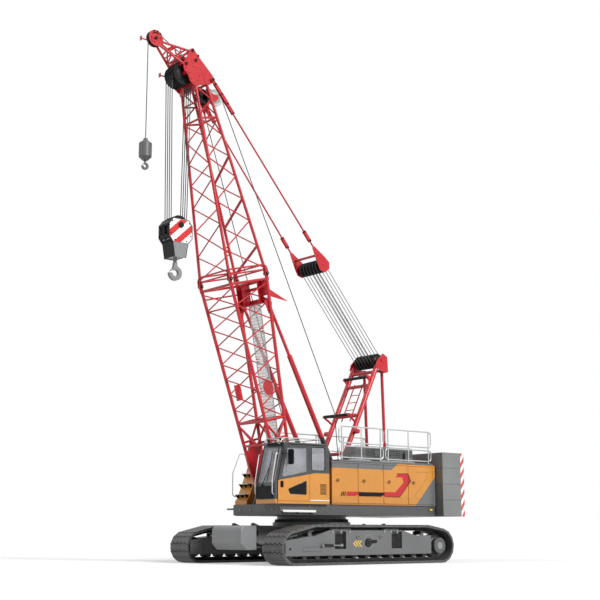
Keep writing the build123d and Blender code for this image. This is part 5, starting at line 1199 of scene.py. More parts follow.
def addDeckDetails():
    look = deckLook
    white, dark, lamps, steel = newMesh(), newMesh(), newMesh(), newMesh()
    (x0, x1), z, face, front = look["stepX"], look["stepZ"], look["sideY"], look["frontX"]
    addBox(white, (x0, face, z), (x1, face + look["stepOut"], z + look["stepThick"]))
    addBox(white, (x0, face + look["lipIn"], z - look["lipDrop"]), (x1, face + look["stepOut"], z))
    bracket = [(face, z - look["bracketDrop"]), (face, z), (face + look["bracketOut"], z)]
    for x in (x0 + look["bracketIn"], (x0 + x1) / 2, x1 - look["bracketIn"]):
        addSlab(dark, bracket, "x", x - look["bracketHalf"], x + look["bracketHalf"])
    (x, z), (halfX, halfZ), (socketX, socketZ) = look["lamp"], look["lampHalf"], look["socketHalf"]
    outline = roundedOutline((x - halfX, z - halfZ), (x + halfX, z + halfZ), look["lampBend"], 3)
    for sign in (1, -1):
        addSlab(lamps, outline, "y", *sorted((sign * face, sign * (face + look["lampOut"]))))
        addSpans(dark, (x - socketX, x + socketX), (sign * face, sign * (face + look["socketOut"])),
            (z - socketZ, z + socketZ))
    # Skirt seams and lifting lugs along both sides
    for seam in look["seams"]:
        for sign in (1, -1):
            if sign < 0 and seam > look["rightEnd"]:
                continue
            addSpans(dark, (seam - look["seamHalf"], seam + look["seamHalf"]),
                (sign * face, sign * (face + look["seamOut"])), look["seamZ"])
    for x, z in look["lugs"]:
        for sign in (1, -1):
            addDisc(steel, (x, sign * face, z), (x, sign * (face + look["lugOut"]), z), look["lugRadius"], 12)
    # Bar at the right front corner, and a dark band low on the deck's front face as painted shade
    addTube(steel, look["bar"], look["barRadius"], 8)
    addSpans(dark, (front, front + look["shadeBandOut"]), look["shadeBandY"], look["shadeBandZ"])
    z = look["bossZ"]
    for y in look["bossY"]:
        addDisc(steel, (front, y, z), (front + look["bossOut"], y, z), look["bossRadius"], 14)
    finishPiece(white, "deckStepBoard", "whitePaint", "upper", 0.003)
    finishPiece(dark, "deckSeamsAndShade", "darkPaint", "upper")
    finishPiece(lamps, "sideMarkerLamps", "yellowLamp", "upper", 0.004)
    finishPiece(steel, "deckFittings", "lightGreyPaint", "upper")


# Gantry: dark sleeves on its guide rollers, and the pins at its feet
gantryLook = dict(legFoot=(-0.33, 2.08), legTop=(-2.30, 6.18), legY=0.55, upperRoller=(0.885, 0.19),
    lowerRoller=(-1.03, 4.53), rollerRadius=0.049, sleeveY=0.56,
    pin=(0.095, 0.15, 0.055), pinBolt=(0.15, 0.165, 0.03))  # from, to, radius


def legPlace(share, y=0.0, forward=0.0):
    (x0, z0), (x1, z1) = gantryLook["legFoot"], gantryLook["legTop"]
    length = hypot(x1 - x0, z1 - z0)
    normal = Vector(((z1 - z0) / length, 0, -(x1 - x0) / length))
    return Vector((x0 + (x1 - x0) * share, y, z0 + (z1 - z0) * share)) + normal * forward


def addGantryDetails():
    look = gantryLook
    black, steel = newMesh(), newMesh()
    share, ahead = look["upperRoller"]
    x, z = look["lowerRoller"]
    reach = across * look["sleeveY"]
    for roller in (legPlace(share, 0, ahead), Vector((x, 0, z))):
        addTube(black, [roller - reach, roller + reach], look["rollerRadius"], 18)
    for sign in (1, -1):
        foot = legPlace(0.0, sign * look["legY"])
        for mesh, (start, end, radius), sides in ((black, look["pin"], 16), (steel, look["pinBolt"], 6)):
            addDisc(mesh, foot + across * sign * start, foot + across * sign * end, radius, sides)
    finishPiece(black, "gantryGuideRollers", "sheaveBlack", "upper")
    finishPiece(steel, "gantryPinBolts", "bareSteel", "upper")


# Boom: two tapering lattices of four chords, the joint's forks, the head plates, the rear panel and the walkway.
# Each face's zigzag starts on its own chord, so every chord meets one lacing at every level.
boom = dict(jointS=6.5, jointT=0.692, jointY=0.754, footT=0.2, footY=0.63, topS=12.45,
    frontSlope=0.0745, rearSlope=-0.0886, widthSlope=-0.0659, leastWidth=0.372,
    baseChord=0.052, tipChord=0.045, lacing=0.0205, heavyLacing=0.042, frameTube=0.034,
    baseLevels=(6.24, 5.72, 5.13, 4.61, 4.06, 3.585, 3.13, 2.64, 2.22), footFrame=2.2,
    tipLevels=(6.69, 7.38, 8.16, 8.86, 9.55, 10.2, 10.85, 11.38), footMiddle=1.5,
    headLevels=((11.57, 0), (12.0, 1), (12.4, 0)), headS=12.83, headT=-0.53)
boomCorners = ((-1, -1), (-1, 1), (1, 1), (1, -1))


def chordPoint(index, s):
    # Centre of a chord: front right, front left, rear left and rear right, as the crane faces
    depthSide, widthSide = boomCorners[index % 4]
    if s <= boom["jointS"]:
        share = s / boom["jointS"]
        t = depthSide * (boom["footT"] + (boom["jointT"] - boom["footT"]) * share)
        y = boom["footY"] + (boom["jointY"] - boom["footY"]) * share
    else:
        past = s - boom["jointS"]
        slope = boom["frontSlope"] if depthSide < 0 else boom["rearSlope"]
        t = depthSide * boom["jointT"] + slope * past
        y = max(boom["leastWidth"], boom["jointY"] + boom["widthSlope"] * past)
    return boomPoint(s, t, widthSide * y)


def boomSlab(mesh, outline, y, thickness):
    # A plate square to the boom's width, drawn in (s, t)
    addPlanarSlab(mesh, boomPoint(0, 0, y), boomAlong, boomRear, outline, -thickness / 2, thickness / 2)


def boomBar(mesh, s, t, y0, y1, radius, sides):
    addTube(mesh, [boomPoint(s, t, y0), boomPoint(s, t, y1)], radius, sides)


def chordBar(mesh, first, firstS, second, secondS, radius, sides=10):
    addTube(mesh, [chordPoint(first, firstS), chordPoint(second, secondS)], radius, sides)


def jointSlabs(mesh, outline, shifts, thickness):
    # Plates at the four corners of the joint, drawn from the joint's pin
    for depthSide, widthSide in boomCorners:
        s, t = boom["jointS"], depthSide * boom["jointT"]
        for shift in shifts:
            boomSlab(mesh, [(s + a, t + b) for a, b in outline], widthSide * boom["jointY"] + shift, thickness)


def addLacings(mesh, levels, heavy=()):
    # levels run along the boom; the lacings listed in heavy as (face, bay) are stouter
    for bay, (near, far) in enumerate(zip(levels, levels[1:])):
        shift = (bay + 1) % 2
        for face in range(4):
            size = boom["heavyLacing"] if (face, bay) in heavy else boom["lacing"]
            chordBar(mesh, face + shift, near, face + 1 - shift, far, size)


def addCrossFrame(mesh, s, size, faces=range(4)):
    for face in faces:
        chordBar(mesh, face, s, face + 1, s, size, 12)


baseLook = dict(
    chords=(0.55, 6.4), topFrame=(6.345, 0.040), bars=((5.70, 0), (6.08, 3)), barTube=0.0245,
    footTube=0.042, braceS=2.14, braceTube=0.034, middleTube=0.036, middleShift=0.12,
    eye=0.165, footThick=0.088, bosses=(0.95, 1.32), bossOut=0.06, bossRadius=0.05,
    foot=((0.0, 0.165), (0.9, 0.33), (1.25, 0.345), (1.30, 0.25), (1.60, 0.07), (1.66, 0.0), (1.60, -0.07),
    (1.30, -0.25), (1.25, -0.345), (0.9, -0.33), (0.0, -0.165)),
    lug=((-0.2, -0.05), (0.03, -0.06), (0.058, -0.03), (0.058, 0.03), (0.03, 0.06), (-0.2, 0.05)),
    lugThick=0.05, tieS=5.74, tieTube=0.04, stopY=0.645, stopThick=0.03, stopPin=(5.59, 0.691),
    stopPinY=(0.57, 0.67), stopPinRadius=0.03,
    stop=((5.55, 0.60), (5.775, 0.60), (5.775, 0.67), (5.65, 0.765), (5.55, 0.765), (5.52, 0.691)))


def addBoomBase():
    mesh, look = newMesh(), baseLook
    for index in range(4):
        chordBar(mesh, index, look["chords"][0], index, look["chords"][1], boom["baseChord"], 16)
    addLacings(mesh, boom["baseLevels"])
    addCrossFrame(mesh, *look["topFrame"])
    for s, face in look["bars"]:
        addCrossFrame(mesh, s, look["barTube"], (face,))
    addCrossFrame(mesh, boom["footFrame"], look["footTube"])
    # Braces of the foot: from the frame's corners to the middle of each face
    for face in range(4):
        level = boom["footMiddle"] + (look["middleShift"] if face % 2 else 0.0)
        middle = (chordPoint(face, level) + chordPoint(face + 1, level)) / 2
        for index in (face, face + 1):
            addTube(mesh, [chordPoint(index, look["braceS"]), middle], look["braceTube"], 12)
        chordBar(mesh, face, level, face + 1, level, look["middleTube"], 12)
    eye = [(look["eye"] * cos(radians(angle)), look["eye"] * sin(radians(angle)))
        for angle in range(-105, -256, -15)]
    for side in (1, -1):
        y = side * boom["footY"]
        boomSlab(mesh, list(look["foot"]) + eye, y, look["footThick"])
        for s in look["bosses"]:
            start, end = boomPoint(s, 0, y - look["bossOut"]), boomPoint(s, 0, y + look["bossOut"])
            addDisc(mesh, start, end, look["bossRadius"])
    jointSlabs(mesh, look["lug"], (0.0,), look["lugThick"])
    # Cross tube and lugs that take the backstops
    chordBar(mesh, 2, look["tieS"], 3, look["tieS"], look["tieTube"], 12)
    for side in (1, -1):
        boomSlab(mesh, look["stop"], side * look["stopY"], look["stopThick"])
        boomBar(mesh, *look["stopPin"], *(side * y for y in look["stopPinY"]), look["stopPinRadius"], 12)
    obj = finishPiece(mesh, "boomLowerLattice", "redPaint", "boom", 0.003)
    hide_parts("boom_base")


# Stiff box behind the lower lattice: a rear plate with two openings, its inner webs, and a horn on each side
panel = dict(low=5.66, high=6.33, halfWidth=0.735, openY=(-0.16, 0.44), lowOpen=(5.80, 6.08),
    highOpen=(6.17, 6.28), thick=0.022, sunk=0.01, clearY=0.50, clearS=5.86,
    webs=((-0.16, 0.30), (0.44, 0.16), (-0.42, 0.30)), webThick=0.018, foldShifts=(0.0, 0.05),
    foldTube=0.024, hornY=0.745, hornThick=0.02, bladeY=0.70,
    horn=((6.06, 0.65), (6.01, 0.72), (5.60, 1.27), (5.585, 1.30), (5.57, 1.285), (5.80, 0.70),
    (5.78, 0.64)),
    blade=((5.70, 0.45), (5.70, 0.64), (5.62, 0.74), (5.32, 0.62), (5.30, 0.54)))


def rearDepth(s):
    return boom["footT"] + (boom["jointT"] - boom["footT"]) * s / boom["jointS"]


def addRearPanel():
    mesh, look = newMesh(), panel
    lean = (boomAlong + boomRear * (boom["jointT"] - boom["footT"]) / boom["jointS"]).normalized()
    low, high, wide, clear, clearS = (look[key] for key in ("low", "high", "halfWidth", "clearY", "clearS"))
    y0, y1 = look["openY"]
    origin = boomPoint(low, rearDepth(low) - look["sunk"])
    (lowStart, lowEnd), (highStart, highEnd) = look["lowOpen"], look["highOpen"]
    for s0, s1, start, end in ((low, high, -clear, y0), (low, high, y1, clear), (clearS, high, -wide, -clear),
            (clearS, high, clear, wide), (low, lowStart, y0, y1), (lowEnd, highStart, y0, y1),
            (highEnd, high, y0, y1)):
        outline = [(start, s0 - low), (end, s0 - low), (end, s1 - low), (start, s1 - low)]
        addPlanarSlab(mesh, origin, across, lean, outline, -look["thick"] / 2, look["thick"] / 2)
    # Webs and folds that make it a box
    for y, front in look["webs"]:
        boomSlab(mesh, [(low, rearDepth(low) - look["sunk"]), (high, rearDepth(high) - look["sunk"]),
            (high, rearDepth(high) - front), (low, rearDepth(low) - front)], y, look["webThick"])
    for s in (low, (lowEnd + highStart) / 2, high):
        reach = clear if s < clearS else wide
        for shift in look["foldShifts"]:
            boomBar(mesh, s + shift * 0.3, rearDepth(s) - shift, -reach, reach, look["foldTube"], 10)
    for side in (1, -1):
        boomSlab(mesh, look["horn"], side * look["hornY"], look["hornThick"])
        boomSlab(mesh, look["blade"], side * look["bladeY"], look["hornThick"])
    finishPiece(mesh, "boomRearPanel", "redPaint", "boom", 0.003)


# Boom head: a plate a side with a thin stepped one on it, cross tubes, rope guards and the guide sheave's bracket
tipLook = dict(chordFrom=6.58, heavy=((2, 0), (2, 2), (2, 4)), lowFrames=(6.63, 6.78), lowTube=0.0265,
    highFrame=11.42, halfFrame=11.95, headTube=0.0245, crossing=(11.5, 12.4),
    fork=((-0.05, -0.045), (-0.03, -0.06), (0.17, -0.05), (0.26, 0), (0.17, 0.05), (-0.03, 0.06),
    (-0.05, 0.045)),
    forkShifts=(0.043, -0.043), forkThick=0.03)
head = dict(plateY=0.43, plateThick=0.036, outerThick=0.0015, stepShadowTube=0.007,
    step=((13.37, -0.276), (12.97, -0.276), (12.948, -0.003), (12.44, 0.077)),
    outer=((13.52, -0.25), (13.55, -0.17), (13.50, -0.10), (13.32, 0.0), (12.76, 0.34), (12.68, 0.22),
    (12.50, 0.20), (12.44, 0.13), (12.44, 0.08), (12.95, 0.0), (12.97, -0.272), (13.37, -0.272)),
    inner=((13.52, -0.25), (13.50, -0.12), (12.95, 0.24), (12.70, 0.40), (12.60, 0.43), (12.50, 0.38),
    (12.43, 0.25), (12.43, 0.09), (12.40, -0.33), (12.574, -0.478), (12.72, -0.50), (12.85, -0.60),
    (13.0, -0.61), (13.154, -0.55), (13.31, -0.396)),
    pendantPin=(12.56, 0.34), pendantY=(0.500, 0.522), pendantRadius=0.045,
    pins=((13.48, -0.17, 0.045), (13.31, -0.01, 0.025), (13.18, -0.12, 0.05), (13.08, -0.50, 0.05)),
    frontT=-0.4, collar=(-0.01, 0.014, 0.022), pinOut=(0.006, 0.034),
    bolts=((12.62, -0.42), (12.80, -0.44), (12.95, -0.53), (13.2, -0.44), (12.7, -0.1), (12.75, 0.12),
    (12.55, -0.2)), boltOut=(-0.002, 0.012), boltRadius=0.014,
    crossTubes=((12.5, 0.30, 0.04), (12.98, 0.15, 0.04), (13.255, -0.478, 0.04), (12.45, -0.27, 0.045),
    (12.6, 0.0, 0.04)), shaftOut=0.05, shaftTube=0.055,
    guard=(13.10, -0.60), guardY=0.45, guardTube=0.034, armY=0.44, armThick=0.016,
    arm=((13.06, -0.50), (13.15, -0.50), (13.14, -0.62), (13.10, -0.645), (13.06, -0.62)),
    cover=(12.42, -0.30),
    coverBoxes=(((-0.13, -0.42, -0.02), (0.13, 0.42, 0.0)), ((-0.13, -0.42, 0.0), (-0.11, 0.42, 0.16))),
    endBar=(12.9, -0.56), endLength=0.35, endTube=0.02, endPlate=(0.012, 0.045, 0.065),
    bracketY=(-0.09, 0.09), bracketThick=0.02,
    bracket=((11.40, 0.20), (11.60, 0.20), (12.35, 0.10), (12.42, 0.16), (12.215, 0.60), (12.19, 0.73),
    (12.07, 0.73), (12.0, 0.60), (11.95, 0.33)),
    bracketPin=(12.125, 0.671, -0.105, 0.105), bracketTube=0.03, innerSheave=(12.10, 0.10, 0.15),
    innerDiscs=((-0.10, 0.10, 0.085), (-0.10, -0.06, 0.21), (0.06, 0.10, 0.21), (-0.015, 0.015, 0.20)))


def addHeadSide(mesh, black, side):
    look = head
    plateFace = look["plateY"] + look["plateThick"] / 2
    face = plateFace + look["outerThick"]
    boomSlab(mesh, look["inner"], side * look["plateY"], look["plateThick"])
    boomSlab(mesh, look["outer"], side * (plateFace + look["outerThick"] / 2), look["outerThick"])
    collarIn, collarOut, collarWide = look["collar"]
    for s, t, radius in look["pins"]:
        low = face if t > look["frontT"] else plateFace
        boomBar(mesh, s, t, side * (low + collarIn), side * (low + collarOut), radius + collarWide, 18)
        start, end = (boomPoint(s, t, side * (low + out)) for out in look["pinOut"])
        addDisc(black, start, end, radius, 18)
    low, high = (boomPoint(*look["pendantPin"], side * y) for y in look["pendantY"])
    addDisc(black, low, high, look["pendantRadius"], 18)
    # Black line along the thin plate's stepped edge: painted shadow of that edge
    addTube(black, [boomPoint(s, t, side * (face - 0.005)) for s, t in look["step"]], look["stepShadowTube"], 6)
    for s, t in look["bolts"]:
        start, end = (boomPoint(s, t, side * (plateFace + out)) for out in look["boltOut"])
        addDisc(black, start, end, look["boltRadius"], 6)


def addBoomTip():
    mesh, black, look = newMesh(), newMesh(), tipLook
    for index in range(4):
        chordBar(mesh, index, look["chordFrom"], index, boom["topS"], boom["tipChord"], 16)
    addLacings(mesh, boom["tipLevels"], heavy=look["heavy"])
    for s in look["lowFrames"]:
        addCrossFrame(mesh, s, look["lowTube"])
    addCrossFrame(mesh, look["highFrame"], boom["frameTube"])
    addCrossFrame(mesh, look["halfFrame"], look["headTube"], (3, 0))
    # The last bays under the head
    for (near, nearRear), (far, farRear) in zip(boom["headLevels"], boom["headLevels"][1:]):
        for front, rear in ((0, 3), (1, 2)):
            chordBar(mesh, rear if nearRear else front, near, rear if farRear else front, far, look["headTube"])
    for first, second in ((2, 3), (3, 2)):
        chordBar(mesh, first, look["crossing"][0], second, look["crossing"][1], boom["lacing"])
    jointSlabs(mesh, look["fork"], look["forkShifts"], look["forkThick"])
    look = head
    for side in (1, -1):
        addHeadSide(mesh, black, side)
    for s, t, size in look["crossTubes"]:
        boomBar(mesh, s, t, -look["plateY"], look["plateY"], size, 14)
    reach = look["plateY"] + look["shaftOut"]
    boomBar(mesh, boom["headS"], boom["headT"], -reach, reach, look["shaftTube"], 18)
    # Guard tube over the head sheaves on two short arms, and the cover plate below them
    boomBar(mesh, *look["guard"], -look["guardY"], look["guardY"], look["guardTube"], 14)
    for side in (1, -1):
        boomSlab(mesh, look["arm"], side * look["armY"], look["armThick"])
    for low, high in look["coverBoxes"]:
        addLocalBox(mesh, boomPoint(*look["cover"]), (boomAlong, across, boomRear), low, high)
    # Bar with an end plate, reaching forward from the right head plate
    root = boomPoint(*look["endBar"], -look["plateY"])
    end = root + forward * look["endLength"]
    addTube(mesh, [root, end], look["endTube"], 10)
    addBox(mesh, end - Vector(look["endPlate"]), end + Vector(look["endPlate"]))
    # Bracket of the rear guide sheave, reaching back from the upper frame
    for y in look["bracketY"]:
        boomSlab(mesh, look["bracket"], y, look["bracketThick"])
    boomBar(mesh, *look["bracketPin"], look["bracketTube"], 12)
    obj = finishPiece(mesh, "boomUpperLattice", "redPaint", "boom", 0.0007)
    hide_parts("boom_tip")
    # Second guide sheave, inside the chords under the head
    addDiscs(black, boomPoint(*look["innerSheave"]), look["innerDiscs"], 26)
    finishPiece(black, "boomHeadPinsAndShadeLine", "sheaveBlack", "boom")


# Walkway up the inside of the rear face: rails, rungs and wires, in lengths with bolted ends
walkway = {"low": 1.3, "high": 5.62, "y": (-0.21, 0.35), "in": 0.07, "length": 0.86, "gap": 0.035,
    "rungPitch": 0.095,
    "wires": 13, "wire": 0.0075, "rung": 0.011, "rail": 0.016}


def addWalkway():
    mesh, bolts, look = newMesh(), newMesh(), walkway
    y0, y1 = look["y"]

    def place(s, y, out=0.0):
        return boomPoint(s, rearDepth(s) - look["in"] + out, y)
    start = look["low"]
    while start < look["high"] - 0.2:
        end = min(start + look["length"], look["high"])
        for y in (y0, y1):
            addTube(mesh, [place(start, y), place(end, y)], look["rail"], 6)
        for index in range(look["wires"]):
            y = y0 + (y1 - y0) * (index + 1) / (look["wires"] + 1)
            addTube(mesh, [place(start, y), place(end, y)], look["wire"], 5)
        count = round((end - start) / look["rungPitch"])
        for index in range(count + 1):
            s = start + (end - start) * index / count
            addTube(mesh, [place(s, y0), place(s, y1)], look["rung"], 6)
        for y in (y0 + 0.06, y1 - 0.06):
            for s in (start + 0.03, end - 0.03):
                addDisc(bolts, place(s, y, -0.02), place(s, y, 0.07), 0.018, 8)
        start = end + look["gap"]
    obj = finishPiece(mesh, "boomWalkwayMesh", "paleMesh", "boom")
    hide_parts("boom_walkway")
    finishPiece(bolts, "boomWalkwayBolts", "redPaint", "boom")


def addBoomDetails():
    black, steel, look = newMesh(), newMesh(), boom
    for depthSide, widthSide in boomCorners:
        pin = boomPoint(look["jointS"], depthSide * look["jointT"], widthSide * look["jointY"])
        for sign in (1, -1):
            addDisc(black, pin + across * sign * 0.056, pin + across * sign * 0.092, 0.048, 16)
            addDisc(steel, pin + across * sign * 0.092, pin + across * sign * 0.098, 0.018, 6)
    finishPiece(black, "boomPinHeads", "blackTrim", "boom")
    finishPiece(steel, "boomPinBolts", "bareSteel", "boom")
    # A small box on the right face, and a blank round plate on the walkway
    red, white = newMesh(), newMesh()
    addLocalBox(red, boomPoint(3.15, -0.47, -0.22), (boomAlong, across, boomRear), (-0.24, -0.03, -0.09),
        (0.24, 0.06, 0.09))
    centre = boomPoint(3.12, rearDepth(3.12) - 0.12, 0.26)
    addDisc(white, centre, centre + boomRear * 0.012, 0.27, 40)
    sign = newMesh()
    addDisc(sign, centre - boomRear * 0.006, centre + boomRear * 0.002, 0.235, 40)
    finishPiece(sign, "boomDiscPlate", "signRed", "boom")
    finishPiece(red, "boomSmallBox", "redPaint", "boom", 0.003)
    finishPiece(white, "boomDiscRim", "whitePaint", "boom")


# Jib: stout tubes, and spoked guard plates beside its sheave
jibLook = dict(tie=((13.48, -0.17), (13.85, -0.915)), chord=((13.08, -0.50), (13.775, -1.075)), rootY=0.36,
    tipY=0.062, tieRadius=0.034, chordRadius=0.038, braceRadius=0.0235, node=0.27,
    far=0.62, braces=(0.06, 0.34, 0.6), guardY=0.074, guardOuter=0.25, guardInner=0.175,
    guardThick=0.012, tip=(13.977, -1.132))


def jibPlace(ends, share, side):
    (s0, t0), (s1, t1) = ends
    y = jibLook["rootY"] + (jibLook["tipY"] - jibLook["rootY"]) * share
    return boomPoint(s0 + (s1 - s0) * share, t0 + (t1 - t0) * share, side * y)


def addRingPlate(mesh, centre, inner, outer, thickness, sides=36):
    # A flat ring square to the crane's width
    rings = []
    for y in (-thickness / 2, thickness / 2):
        for radius in (inner, outer):
            rings.append([mesh.verts.new(centre + Vector((radius * cos(2 * pi * step / sides), y,
                radius * sin(2 * pi * step / sides)))) for step in range(sides)])
    for first, second in ((0, 1), (1, 3), (3, 2), (2, 0)):
        for step in range(sides):
            after = (step + 1) % sides
            mesh.faces.new((rings[first][step], rings[first][after], rings[second][after], rings[second][step]))


def addJibDetails():
    red, black, look = newMesh(), newMesh(), jibLook
    for side in (1, -1):
        addTube(red, [jibPlace(look["tie"], 0, side), jibPlace(look["tie"], 1, side)], look["tieRadius"], 14)
        addTube(red, [jibPlace(look["chord"], 0, side), jibPlace(look["chord"], 1, side)], look["chordRadius"], 14)
        node = jibPlace(look["chord"], look["node"], side)
        for share in look["braces"]:
            addTube(red, [node, jibPlace(look["tie"], share, side)], look["braceRadius"], 10)
        addTube(red, [jibPlace(look["chord"], look["far"], side), jibPlace(look["tie"], look["braces"][-1], side)],
            look["braceRadius"], 10)
        centre = boomPoint(*look["tip"], side * look["guardY"])
        addRingPlate(red, centre, look["guardInner"], look["guardOuter"], look["guardThick"])
        for turn in (20, 140, 260):
            out = Vector((cos(radians(turn)), 0, sin(radians(turn))))
            square = Vector((-out.z, 0, out.x))
            addLocalBox(red, centre, (out, across, square), (0.05, -0.005, -0.05),
                (look["guardInner"] + 0.01, 0.005, 0.05))
        for turn in (70, 100, 130):
            place = centre + Vector((0.215 * cos(radians(turn)), 0, 0.215 * sin(radians(turn))))
            addDisc(black, place, place + across * side * 0.03, 0.024, 14)
        addDisc(black, centre, centre + across * side * 0.04, 0.045, 18)
    for share in (0.18, 0.5):
        for ends in (look["tie"], look["chord"]):
            addTube(red, [jibPlace(ends, share, 1), jibPlace(ends, share, -1)], look["braceRadius"], 10)
    # Lead sheave inside the jib's foot
    centre = boomPoint(13.30, -0.36, 0.0)
    for start, end, radius in ((-0.09, 0.09, 0.04), (-0.045, -0.02, 0.17), (0.02, 0.045, 0.17),
            (-0.02, 0.02, 0.145)):
        addDisc(black, centre + across * start, centre + across * end, radius, 26)
    finishPiece(red, "jibTubesAndGuards", "redPaint", "boom", 0.002)
    finishPiece(black, "jibPinsAndSheave", "sheaveBlack", "boom")


# Links at both ends of the pendants, lapped plates joined by pins
links = dict(width=0.105, plate=0.012, gap=0.022, length=0.34, fromHead=3, fromBlock=1, clear=0.19, pin=0.056)


def addPendantLinks():
    red, black, look = newMesh(), newMesh(), links
    low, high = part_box("pendants")
    for side in (1, -1):
        top = Vector((high.x - 0.05, side * 0.476, high.z - 0.05))
        bottom = Vector((low.x + 0.05, side * 0.56, low.z + 0.05))
        for start, end, count in ((top, bottom, look["fromHead"]), (bottom, top, look["fromBlock"])):
            along = (end - start).normalized()
            square = along.cross(across).normalized()
            side3 = square.cross(along)
            for index in range(count):
                middle = start + along * (look["length"] * (index + 0.5) + look["clear"])
                reach = look["gap"] + (look["plate"] if index % 2 else 0.0)
                half = look["length"] / 2 + 0.03
                for sign in (1, -1):
                    y0, y1 = sorted((sign * reach, sign * (reach + look["plate"])))
                    addLocalBox(red, middle, (along, side3, square), (-half, y0, -look["width"] / 2),
                        (half, y1, look["width"] / 2))
                for shift in (-look["length"] / 2, look["length"] / 2):
                    pin = middle + along * shift
                    addDisc(black, pin - side3 * look["pin"], pin + side3 * look["pin"], 0.03, 14)
    finishPiece(red, "pendantLinks", "redPaint", "stay_block", 0.002)
    finishPiece(black, "pendantLinkPins", "sheaveBlack", "stay_block")


# Hook block: striped cover plates, cheek bolts and the hook's latch
hookLook = dict(cheekY=0.271, plateProud=0.012)


def addHookDetails():
    look = hookLook
    low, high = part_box("hook_block")
    centre = (low + high) / 2
    stripes, dark, steel = newMesh(), newMesh(), newMesh()
    for sign in (1, -1):
        face = sign * look["cheekY"]
        y0, y1 = sorted((face, face + sign * look["plateProud"]))
        outline = [(centre.x - 0.25, 9.86), (centre.x + 0.25, 9.86), (centre.x + 0.385, 9.69),
            (centre.x + 0.385, 9.34),
            (centre.x + 0.25, 9.18), (centre.x - 0.25, 9.18), (centre.x - 0.385, 9.34), (centre.x - 0.385, 9.69)]
        addSlab(stripes, outline, "y", y0, y1)
        addDisc(dark, (centre.x, y1 if sign > 0 else y0, 9.70),
            (centre.x, (y1 if sign > 0 else y0) + sign * 0.03, 9.70), 0.085, 20)
        for x, z in ((-0.30, 9.78), (0.30, 9.78), (-0.34, 9.40), (0.34, 9.40), (-0.2, 9.23), (0.2, 9.23)):
            start = Vector((centre.x + x, y1 if sign > 0 else y0, z))
            addDisc(dark, start, start + across * sign * 0.014, 0.020, 6)
        for x, z in ((-0.15, 9.05), (0.15, 9.05), (-0.12, 8.82), (0.12, 8.82)):
            start = Vector((centre.x + x, face, z))
            addDisc(steel, start, start + across * sign * 0.012, 0.016, 6)
    # Guard plates between the cheeks: open frames where the ropes leave, closed below
    for sign in (1, -1):
        path = ((0.27, 9.86), (0.40, 9.70), (0.40, 9.34), (0.26, 9.16), (0.19, 8.76))
        for part, ((x0, z0), (x1, z1)) in enumerate(zip(path, path[1:])):
            start = Vector((centre.x + sign * x0, 0, z0))
            along = Vector((sign * (x1 - x0), 0, z1 - z0))
            length = along.length
            along.normalize()
            axes = (along, across, across.cross(along))
            if part in (0, 3):
                addLocalBox(dark, start, axes, (0, -0.25, -0.008), (length, 0.25, 0.008))
                continue
            for y in (-0.225, 0.0, 0.225):
                addLocalBox(dark, start, axes, (0, y - 0.03, -0.008), (length, y + 0.03, 0.008))
            for share in (0.08, 0.92):
                addLocalBox(dark, start, axes, (length * share - 0.03, -0.25, -0.008),
                    (length * share + 0.03, 0.25, 0.008))
    # Rim bands round the cheeks' front and rear edges
    for sign in (1, -1):
        for path in (((0.26, 9.88), (0.40, 9.70), (0.40, 9.33), (0.26, 9.16), (0.19, 8.74)),):
            for (x0, z0), (x1, z1) in zip(path, path[1:]):
                start = Vector((centre.x + sign * x0, 0, z0))
                end = Vector((centre.x + sign * x1, 0, z1))
                along = (end - start).normalized()
                out = across.cross(along)
                for y in (-0.255, 0.255):
                    addLocalBox(dark, start + across * y, (along, across, out), (0, -0.03, -0.006),
                        ((end - start).length, 0.03, 0.006))
    finishPiece(stripes, "hookBlockStripes", "hookStripes", "main_block", 0.002)
    finishPiece(dark, "hookBlockRims", "sheaveBlack", "main_block")
    finishPiece(steel, "hookBlockBolts", "bareSteel", "main_block")
    # Spring latch across each hook's throat, and the nut and collar of the main hook
    hooks = (("main_hook", pinOf("main_hook_swivel").x, 8.30, 1.0),
        ("aux_hook", pinOf("tip_sheave_level").x + 0.23, 11.33, 0.52))
    for body, x, z, size in hooks:
        latch = newMesh()
        addTube(latch, [(x + 0.02 * size, -0.05 * size, z + 0.21 * size),
            (x + 0.165 * size, -0.03 * size, z + 0.045 * size)], 0.011 * size, 8)
        addTube(latch, [(x + 0.02 * size, 0.05 * size, z + 0.21 * size),
            (x + 0.165 * size, 0.03 * size, z + 0.045 * size)], 0.011 * size, 8)
        addBox(latch, (x + 0.10 * size, -0.045 * size, z + 0.075 * size),
            (x + 0.12 * size, 0.045 * size, z + 0.12 * size))
        addDisc(latch, (x + 0.015 * size, -0.07 * size, z + 0.215 * size),
            (x + 0.015 * size, 0.07 * size, z + 0.215 * size), 0.02 * size, 12)
        finishPiece(latch, f"hookLatch_{body}", "bareSteel", body)


# Cab fittings
cabLook = dict(leftY=1.69, rearX=0.72, frontX=2.74, lowZ=1.71)


